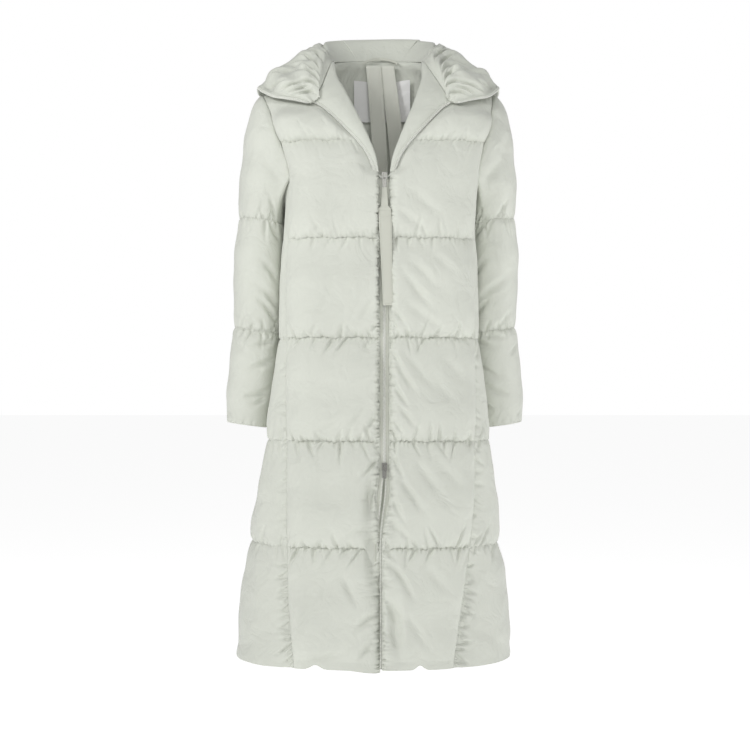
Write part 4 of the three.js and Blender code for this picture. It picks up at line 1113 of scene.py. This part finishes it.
def lapel(side_name, sign, seed):
    """One lapel: its two faces a wall apart, with fine gathers that run in from the zip's edge."""
    random = np.random.default_rng(seed)
    roll = np.linspace(LAPEL["roll"][0], 1, LAPEL_ROWS + 1)[:, None]
    t = np.linspace(0, 1, LAPEL_COLUMNS + 1)[None]
    roll, t = np.broadcast_arrays(roll, t)
    under = lapel_point(roll, t, np.zeros(t.shape))
    top = lapel_point(roll, t, np.full(t.shape, float(LAPEL_WALL)))
    out = unit(top - under)
    along = np.broadcast_to(travelled(top[:, -1])[:, None], t.shape)
    across = np.linalg.norm(top - top[:, -1:], axis=-1)
    whole = along[-1, 0]
    rows = puckers(random, (0, 4), (0, whole), *LAPEL_GATHERS, -1)
    top = top + out * (furrows(across, along, rows) * ease(across / 2))[..., None]
    for grid in (under, top):
        draw_in(grid, ("top",))
    flat, area = cut_of(top)
    piece = cloth_wall(f"lapel_{side_name}", top, under, sign, facing)


lapel("l", 1, 51)
lapel("r", -1, 52)

# Hood
# Two side panels and a middle one, lined and lightly filled, lying open on the shoulders and the back. It
# rolls over at the neck, drops into a pouch behind, and rises to its open edge.
HOOD_CORNER = 0.36
HOOD_SEAM = 0.78
HOOD_CLEAR = 0.8
HOOD_S = [0, 0.18, 0.36, 0.55, 0.75, 1]
HOOD_LINES = [
    ([114, 116, 110, 115, 84, 0], [-80, -54, 4, 52, 98, 112], [-100, -50, 3, 28, 44, 48]),
    ([117, 134, 138, 142, 96, 0], [-82, -62, 2, 72, 130, 135], [-102, -56, -5, 14, -14, -60]),
    ([122, 154, 168, 174, 112, 0], [-82, -66, -2, 85, 152, 150], [-106, -70, -24, -22, -165, -228]),
    ([126, 172, 200, 205, 142, 0], [-84, -66, -8, 82, 190, 208], [-108, -86, -44, -50, -118, -150]),
    ([130, 188, 220, 222, 176, 0], [-86, -62, -16, 62, 158, 200], [-110, -102, -68, -74, -60, -48]),
]
HOOD_ROWS = 160
HOOD_SIDE_COLUMNS = 160
HOOD_MIDDLE_COLUMNS = 96
HOOD_FOLDS = 3
HOOD_FOLD_HEIGHT = 2.25
HOOD_FAN_REACH = 0.62
HOOD_EDGE_REACH = 0.3


def hood_start(s):
    """Where each section of the hood is sewn on: along the lapel's top as far as the side of the neck, and
    then round the back of the neck."""
    front_s = np.minimum(s, HOOD_CORNER)
    t = 1 - front_s / HOOD_CORNER
    lapel_top = lapel_point(np.ones_like(t), t, np.full(t.shape, float(LAPEL_WALL))) + HOOD_CLEAR
    angle = (np.maximum(s, HOOD_CORNER) - HOOD_CORNER) / (1 - HOOD_CORNER) * np.pi / 2
    x = NECK_SIDE[0] * np.cos(angle)
    y, z = back_top(x)
    neck = points(x, y, z + SEAM_GAP + LAPEL_WALL * (1 - s) / (1 - HOOD_CORNER))
    return np.where((s <= HOOD_CORNER)[:, None], lapel_top, neck)


def hood_line(xs, ys, zs, s):
    """A line of the hood read at s, carried on past the middle of the back by its mirror image."""
    table = {"s": HOOD_S + [2 - HOOD_S[-2]], "x": xs + [-xs[-2]], "y": ys + [ys[-2]], "z": zs + [zs[-2]]}
    row = read(table, "s", s)
    return points(row["x"], row["y"], row["z"])


def hood_grid(s, rows):
    """Sections of the hood: through six points each, on a curve whose speed follows the square root of the
    distances between them."""
    through = np.stack([hood_start(s)] + [hood_line(*line, s) for line in HOOD_LINES])
    through = np.concatenate([2 * through[:1] - through[1:2], through, 2 * through[-1:] - through[-2:-1]])
    gaps = np.sqrt(np.linalg.norm(np.diff(through, axis=0), axis=-1, keepdims=True))
    at = np.linspace(0, len(HOOD_LINES), rows + 1)
    i = np.minimum(at.astype(int), len(HOOD_LINES) - 1)
    w = (at - i)[:, None, None]
    p0, p1, p2, p3 = (through[i + k] for k in range(4))
    d0, d1, d2 = (gaps[i + k] for k in range(3))
    m1 = ((p1 - p0) / d0 - (p2 - p0) / (d0 + d1) + (p2 - p1) / d1) * d1
    m2 = ((p2 - p1) / d1 - (p3 - p1) / (d1 + d2) + (p3 - p2) / d2) * d1
    return cubic(w, p1, m1, p2, m2)


# Creases of the hood's sides, fanning out from its seam, as rows for furrows(): their places, s and the
# share of the section, and their widths are in percent
HOOD_CREASES = [
    (4, 8, 16, 70, 1.6, 3.2, 0.5), (9, 6, 26, 62, 1.8, 3.4, 0.45), (14, 4, 36, 66, 1.8, 3.0, 0.45),
    (18, 10, 44, 52, 1.7, 3.2, 0.5), (24, 6, 52, 46, 1.9, 2.6, 0.5), (30, 4, 58, 34, 1.7, 2.8, 0.5),
    (22, 44, 40, 92, 1.6, 3.0, 0.5), (12, 50, 20, 96, 1.3, 2.6, 0.5), (34, 60, 50, 96, 1.7, 2.4, 0.5),
    (46, 8, 72, 30, 1.8, 2.4, 0.5), (50, 56, 70, 90, 2.0, 2.6, 0.5), (40, 30, 60, 60, 2.0, 2.2, 0.5),
    (2, 30, 10, 97, 1.3, 2.6, 0.5), (7, 40, 14, 98, 1.2, 2.4, 0.5), (16, 20, 33, 58, 1.3, 2.6, 0.5),
    (28, 30, 44, 78, 1.5, 2.8, 0.5), (20, 70, 30, 98, 1.4, 2.2, 0.5), (10, 16, 24, 44, 1.2, 2.4, 0.5),
]
HOOD_MM_A_PERCENT = 3.2
HOOD_CREASE_DEPTH = 2.7
HOOD_EDGE_LIFT = 9


def edge_lift(s, along):
    """How far the lower folds of the side are drawn up towards the shoulder: 9 · sin(πs / 0.3), away from
    where the hood is sewn on."""
    return HOOD_EDGE_LIFT * np.sin(np.pi * np.clip(s / HOOD_EDGE_REACH, 0, 1)) * ease(along / 0.5)


def hood_panel(name, s, sign, seed, creases, edges):
    """A panel of the hood: its sections, thrown into a few soft folds that fan out on the side, with
    creases pressed into them, and a wall under them."""
    random = np.random.default_rng(seed)
    grid = hood_grid(np.minimum(s, 2 - s), HOOD_ROWS)
    grid[:, s > 1, 0] *= -1
    normals = -grid_normals(grid)
    along = np.linspace(0, 1, HOOD_ROWS + 1)[:, None]
    first = s <= HOOD_CORNER
    t = 1 - s[first] / HOOD_CORNER
    seam_normals = front_out(*lapel_place(np.ones_like(t), t))
    blend = ease(along / 0.05)[..., None]
    normals[:, first] = unit(lerp(seam_normals[None], normals[:, first], blend))
    fan = np.sin(np.pi * np.clip(s / HOOD_FAN_REACH, 0, 1))
    free = ease((along - 0.04) / 0.1) * ease((1 - along) / 0.06)
    fold = np.sin(2 * np.pi * HOOD_FOLDS * along) * HOOD_FOLD_HEIGHT * fan * free
    rows = [tuple(k * HOOD_MM_A_PERCENT for k in row[:5]) + row[5:] for row in creases]
    percent = 100 * HOOD_MM_A_PERCENT
    pressed = furrows(s[None] * percent, along * percent, rows) * HOOD_CREASE_DEPTH
    crinkle = ripple(random, along * 320 + s[None] * 150, [(110, 0.8), (170, 1.2)])
    pleat = ripple(random, s[None] * 100 + along * 7, [(17, 2.4), (9.5, 0.9)]) * fan * ease(along / 0.3)
    outer = grid + normals * (fold + (pressed + crinkle + pleat) * free)[..., None]
    outer[..., 2] += edge_lift(s, along)
    inner = outer - normals * WALL
    for face in (outer, inner):
        draw_in(face, edges)
    flat, area = cut_of(outer)
    piece = cloth_wall(name, outer, inner, sign, facing)


side_s = np.linspace(0, HOOD_SEAM, HOOD_SIDE_COLUMNS + 1)
middle_s = np.linspace(HOOD_SEAM, 2 - HOOD_SEAM, HOOD_MIDDLE_COLUMNS + 1)
for side_name, sign, seed in (("l", 1, 61), ("r", -1, 62)):
    hood_panel(f"hood_side_{side_name}", side_s, sign, seed, HOOD_CREASES, ("bottom", "end"))
hood_panel("hood_centre", middle_s, 1, 63, [], ("bottom", "start", "end"))

# Zip, its tapes and teeth
# A closed two-way zip of moulded teeth on woven tapes, sewn behind the fronts' edges. Above the upper
# slider its two halves run on along the lapels' and the hood's outer edges, beside a fine piping.
TAPE_COLOUR = (0.520, 0.535, 0.470)
RESIN_COLOUR = (0.82, 0.83, 0.78)
TAPE_WALL = 2
TAPE_GAP = 0.15
TAPE_OPENING = 2.4
TAPE_CLOSING = {"l": -1.6, "r": 5.0}
TAPE_CLOSING_OUT = {"l": 1, "r": -6}
TAPE_NARROWED = {"l": 5, "r": 0}
TAPE_CORD = 0.35
TOOTH_INSET = 1
TAPE_DEPTH = 0.5
TAPE_WIDTH = 7.7
TOOTH = {"along": 1.4, "across": 3.0, "thick": 1.6}
TOOTH_PITCH = 2.4
PIPING = 1.6
PIPING_OUT = 0.6
PIPING_FACETS = 8
TAPE_ROWS = 240
TAPE_COLUMNS = 8
HOOD_PIPED_TO = 0.36
LAPEL_EDGE_STEPS = 160
HOOD_EDGE_STEPS = 80
OPEN_EDGE_LIFT = 0.8
OPEN_TEETH_OUT = 3.6
OPEN_TAPE_OUT = 4.4
OPEN_TAPE_WALL = 0.7


def plain_finish(name, colour, roughness, metallic):
    """Moulded or cast stuff with a faint unevenness of polish: a noise on Object coordinates moves the
    roughness by a tenth up and down."""
    material, tree, shader = new_material(name)
    set_inputs(shader, Base_Color=(*colour, 1), Metallic=metallic)
    place = new_node(tree, "TexCoord")
    worn = new_node(tree, "TexNoise", Scale=400)
    polish = new_node(tree, "MapRange", To_Min=roughness - 0.1, To_Max=roughness + 0.1)
    link_nodes(
        tree,
        (place.outputs["Object"], worn.inputs["Vector"]),
        (worn.outputs["Fac"], polish.inputs["Value"]),
        (polish.outputs["Result"], shader.inputs["Roughness"]),
    )
    return material


tape = woven(
    "zip_tape_weave", TAPE_COLOUR, thread=0.7, relief=0.12, roughness=0.75, crumple=0.2, on_uv=False
)
resin = plain_finish("tooth_resin", RESIN_COLOUR, roughness=0.35, metallic=0)


def tape_inner(z, side_name):
    """Where a tape's toothed edge lies: at the middle, 2.5 mm out under the lower slider, and then with
    its front's edge, the wearer's left one in sight and the right one behind its front."""
    parted = TAPE_GAP + TAPE_OPENING * ease((LOWER_SLIDER_Z - z) / 40)
    return lerp(parted, TAPE_CLOSING[side_name], closing(z))


def studs(path, side, size, pitch):
    """A row of small blocks along a path, one every pitch: their corners, eight a block, and six faces."""
    gone = travelled(path)
    at = np.arange(pitch / 2, gone[-1], pitch)
    centre = np.stack([np.interp(at, gone, path[:, k]) for k in range(3)], axis=-1)
    way = np.gradient(path, gone, axis=0)
    forward = unit(np.stack([np.interp(at, gone, way[:, k]) for k in range(3)], axis=-1))
    sideways = np.stack([np.interp(at, gone, side[:, k]) for k in range(3)], axis=-1)
    sideways = unit(sideways - forward * np.sum(sideways * forward, axis=-1, keepdims=True))
    high = np.cross(forward, sideways)
    along, across, thick = size["along"] * forward, size["across"] * sideways, size["thick"] * high
    places = [
        centre + (a * along + b * across + c * thick) / 2
        for c in (-1, 1)
        for b, a in ((-1, -1), (-1, 1), (1, 1), (1, -1))
    ]
    block = np.array([[3, 2, 1, 0], [4, 5, 6, 7], [0, 1, 5, 4], [1, 2, 6, 5], [2, 3, 7, 6], [3, 0, 4, 7]])
    faces = (block[None] + 8 * np.arange(len(at))[:, None, None]).reshape(-1, 4)
    return np.stack(places, axis=1).reshape(-1, 3), faces


def open_edge(lift):
    """The outer edge of the lapel and on along the hood's opening: its places, and outwards from them."""
    roll = np.linspace(LAPEL["roll"][0], 1, LAPEL_EDGE_STEPS + 1)
    ones = np.ones_like(roll)
    lapel_edge = lapel_point(roll, ones, ones * lift)
    rim, before = (front_bodice(*lapel_place(roll, share)) for share in (ones, ones * 0.94))
    lapel_side = unit(rim - before)
    s = np.linspace(0.01, HOOD_PIPED_TO, HOOD_EDGE_STEPS + 1)
    rows = hood_grid(s, HOOD_ROWS)
    rows[..., 2] += edge_lift(s, np.linspace(0, 1, HOOD_ROWS + 1)[:, None])
    hood_edge, hood_side = rows[-1], unit(rows[-1] - rows[-4])
    return np.concatenate([lapel_edge, hood_edge]), np.concatenate([lapel_side, hood_side])


def zip_half(side_name, sign):
    """One tape, its teeth from the hem to the lapel's top and along the hood, and the piping beside."""
    z = np.linspace(STITCH_Z[0] + 1, UPPER_SLIDER_Z - 5, TAPE_ROWS + 1)[:, None]
    t = np.linspace(0, 1, TAPE_COLUMNS + 1)[None]
    inner_x = tape_inner(z, side_name)
    outer_x = TAPE_WIDTH + zip_edge(z) - ZIP_HALF - TAPE_NARROWED[side_name] * closing(z)
    front_y = front_at(np.zeros_like(z), z)[..., 1]
    cord = TAPE_CORD * np.exp(-(((t - 0.25) / 0.1) ** 2))
    front_y = front_y + TAPE_DEPTH - TAPE_CLOSING_OUT[side_name] * closing(z)
    face = points(lerp(inner_x, outer_x, t), front_y - cord, z)
    reverse = face + np.array([0, TAPE_WALL, 0])
    cloth_wall(f"zip_tape_{side_name}", face, reverse, sign, tape)

    shut = points(inner_x[:, 0] + TOOTH_INSET, front_y[:, 0] - TAPE_CORD, z[:, 0])
    edge, outwards = open_edge(LAPEL_WALL * OPEN_EDGE_LIFT)
    path = np.concatenate([shut, edge + outwards * OPEN_TEETH_OUT])
    side = np.concatenate([np.broadcast_to([-1.0, 0, 0], shut.shape), outwards])
    half_pitch = 0 if sign > 0 else TOOTH_PITCH / 2
    path[0, 2] += half_pitch
    places, faces = studs(path, side, TOOTH, TOOTH_PITCH)
    places = sway(places, sign)
    teeth = mesh_of(f"zip_teeth_{side_name}", places, [faces], places[:, ::2])
    piece_of(f"zip_teeth_{side_name}", teeth, resin)

    across = np.linspace(-0.5, OPEN_TAPE_OUT, 5)[None, :, None]
    strip = edge[1:, None] + outwards[1:, None] * across
    under = strip - unit(np.cross(np.gradient(strip, axis=0), outwards[1:, None])) * OPEN_TAPE_WALL
    open_tape = wall_mesh(f"open_tape_{side_name}", sway(strip, sign), sway(under, sign))
    piece_of(f"open_tape_{side_name}", open_tape, tape)

    line = (edge + outwards * PIPING_OUT)[::2]
    line = line[: len(line) // INSIDE_STEP * INSIDE_STEP + 1]
    forward = unit(np.gradient(line, axis=0))
    across = unit(np.cross(forward, [0, 0, 1]))
    up = np.cross(across, forward)
    angle = np.arange(PIPING_FACETS) / PIPING_FACETS * 2 * np.pi
    ring = across[:, None] * np.cos(angle)[:, None] + up[:, None] * np.sin(angle)[:, None]
    tube = [sway(line[:, None] + ring * r, sign) for r in (PIPING, PIPING / 2)]
    piping = wall_mesh(f"edge_piping_{side_name}", *tube, loop=True)
    piece_of(f"edge_piping_{side_name}", piping, facing)


zip_half("l", 1)
zip_half("r", -1)

# Trimmings
# Nickel sliders and pulls, the woven ribbon on the upper pull with its sewn box, and inside the neck the
# hanger loop, the two carrying straps of shell cloth and the bare label.
RIBBON_COLOUR = (0.560, 0.570, 0.500)
STRAP_COLOUR = (0.665, 0.675, 0.605)
LABEL_COLOUR = (0.86, 0.86, 0.85)
NICKEL_COLOUR = (0.27, 0.27, 0.25)
TRIM = {"crumple": 0.3, "on_uv": False}

ribbon_tape = woven("ribbon_weave", RIBBON_COLOUR, thread=0.9, relief=0.15, roughness=0.7, **TRIM)
strap_cloth = woven("strap_nylon", STRAP_COLOUR, roughness=0.6, crumple=1.5)
label_cloth = woven("label_satin", LABEL_COLOUR, thread=0.5, roughness=0.6, **TRIM)
nickel = plain_finish("nickel", NICKEL_COLOUR, roughness=0.3, metallic=1)
CARRIED_OVER = {
    "upper_slider": nickel,
    "lower_slider": nickel,
    "upper_pull": nickel,
    "lower_pull": nickel,
    "pull_ribbon": ribbon_tape,
    "hanger_loop": ribbon_tape,
    "neck_label": label_cloth,
}
for node_name, finish in CARRIED_OVER.items():
    for material_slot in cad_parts[node_name].material_slots:
        material_slot.material = finish


STRAP = {"width": 28, "wall": 0.8, "drop": 9, "sewn": 11.5, "thread": 0.7, "rows": 80, "columns": 40}


def carrying_strap(side_name, top_x, low_x, clear, low_z):
    """A doubled strap that hangs from the back of the neck, with soft edges: its face stands out by
    1.2 · (1 - (2t - 1)⁴), and its sewn edges are pressed in. It starts aslant and bends to hang plumb, so
    that it has gone 1 - (1 - fall)² of its way sideways."""
    t = np.linspace(0, 1, STRAP["columns"] + 1)[None]
    fall = np.linspace(0, 1, STRAP["rows"] + 1)[:, None]
    across = (t - 0.5) * STRAP["width"]
    y, top_z = back_top(np.abs(top_x + across))
    x = lerp(top_x, low_x, 1 - (1 - fall) ** 2) + across
    z = lerp(top_z - STRAP["drop"], low_z, fall)
    sewn = np.exp(-(((np.abs(across) - STRAP["sewn"]) / STRAP["thread"]) ** 2))
    puff = 1.2 * (1 - (2 * t - 1) ** 4) - 0.5 * sewn
    back = y - WALL - clear + 0 * z
    face = points(x, back - STRAP["wall"] - puff, z)
    piece = cloth_wall(f"inner_strap_{side_name}", face, points(x, back, z), 1, strap_cloth)
    flat, area = cut_of(face)


carrying_strap("l", top_x=13, low_x=46, clear=0.9, low_z=-455)
carrying_strap("r", top_x=-12, low_x=9, clear=3.4, low_z=-470)


RIBBON = {
    "z": [-267.6, -281, -301, -306, -356, -420, -476],
    "half": [4, 5, 6, 11, 10.5, 9.5, 9],
    "lean": [0, 0, 0.5, 0.6, 2.4, 4.5, 6.5],
    "proud": [3.8, 5.5, 8, 9, 10, 10, 10],
}
THREAD_STITCH = {"along": 2.4, "across": 0.5, "thick": 0.5}
STITCH_PITCH = 3.4
STITCH_SHARE = 0.78
STITCHED_Z = (-309, -473)
CROSS_STITCHED_Z = (-309.5, -321, -473)


def ribbon_line(z, share):
    """A line down the face of the ribbon, a share of its half width from its middle."""
    row = read(RIBBON, "z", z)
    y = front_at(np.zeros_like(z), z)[:, 1] - row["proud"]
    return points(row["lean"] + share * row["half"], y, z)


def ribbon_stitching():
    """Lock stitches: down both edges of the ribbon, and a box at its head where it closes on the pull."""
    edges = (-STITCH_SHARE, STITCH_SHARE)
    runs = [(ribbon_line(np.linspace(*STITCHED_Z, 60), share), [1.0, 0, 0]) for share in edges]
    for z in CROSS_STITCHED_Z:
        ends = [ribbon_line(np.array([z]), share)[0] for share in np.linspace(*edges, 9)]
        runs.append((np.array(ends), [0.0, 0, 1]))
    blocks, faces, count = [], [], 0
    for run, side in runs:
        places, block = studs(run, np.broadcast_to(side, run.shape), THREAD_STITCH, STITCH_PITCH)
        blocks.append(places)
        faces.append(block + count)
        count += len(places)
    places = sway(np.concatenate(blocks))
    mesh = mesh_of("ribbon_stitching", places, [np.concatenate(faces)], places[:, ::2])
    piece_of("ribbon_stitching", mesh, tape)


ribbon_stitching()
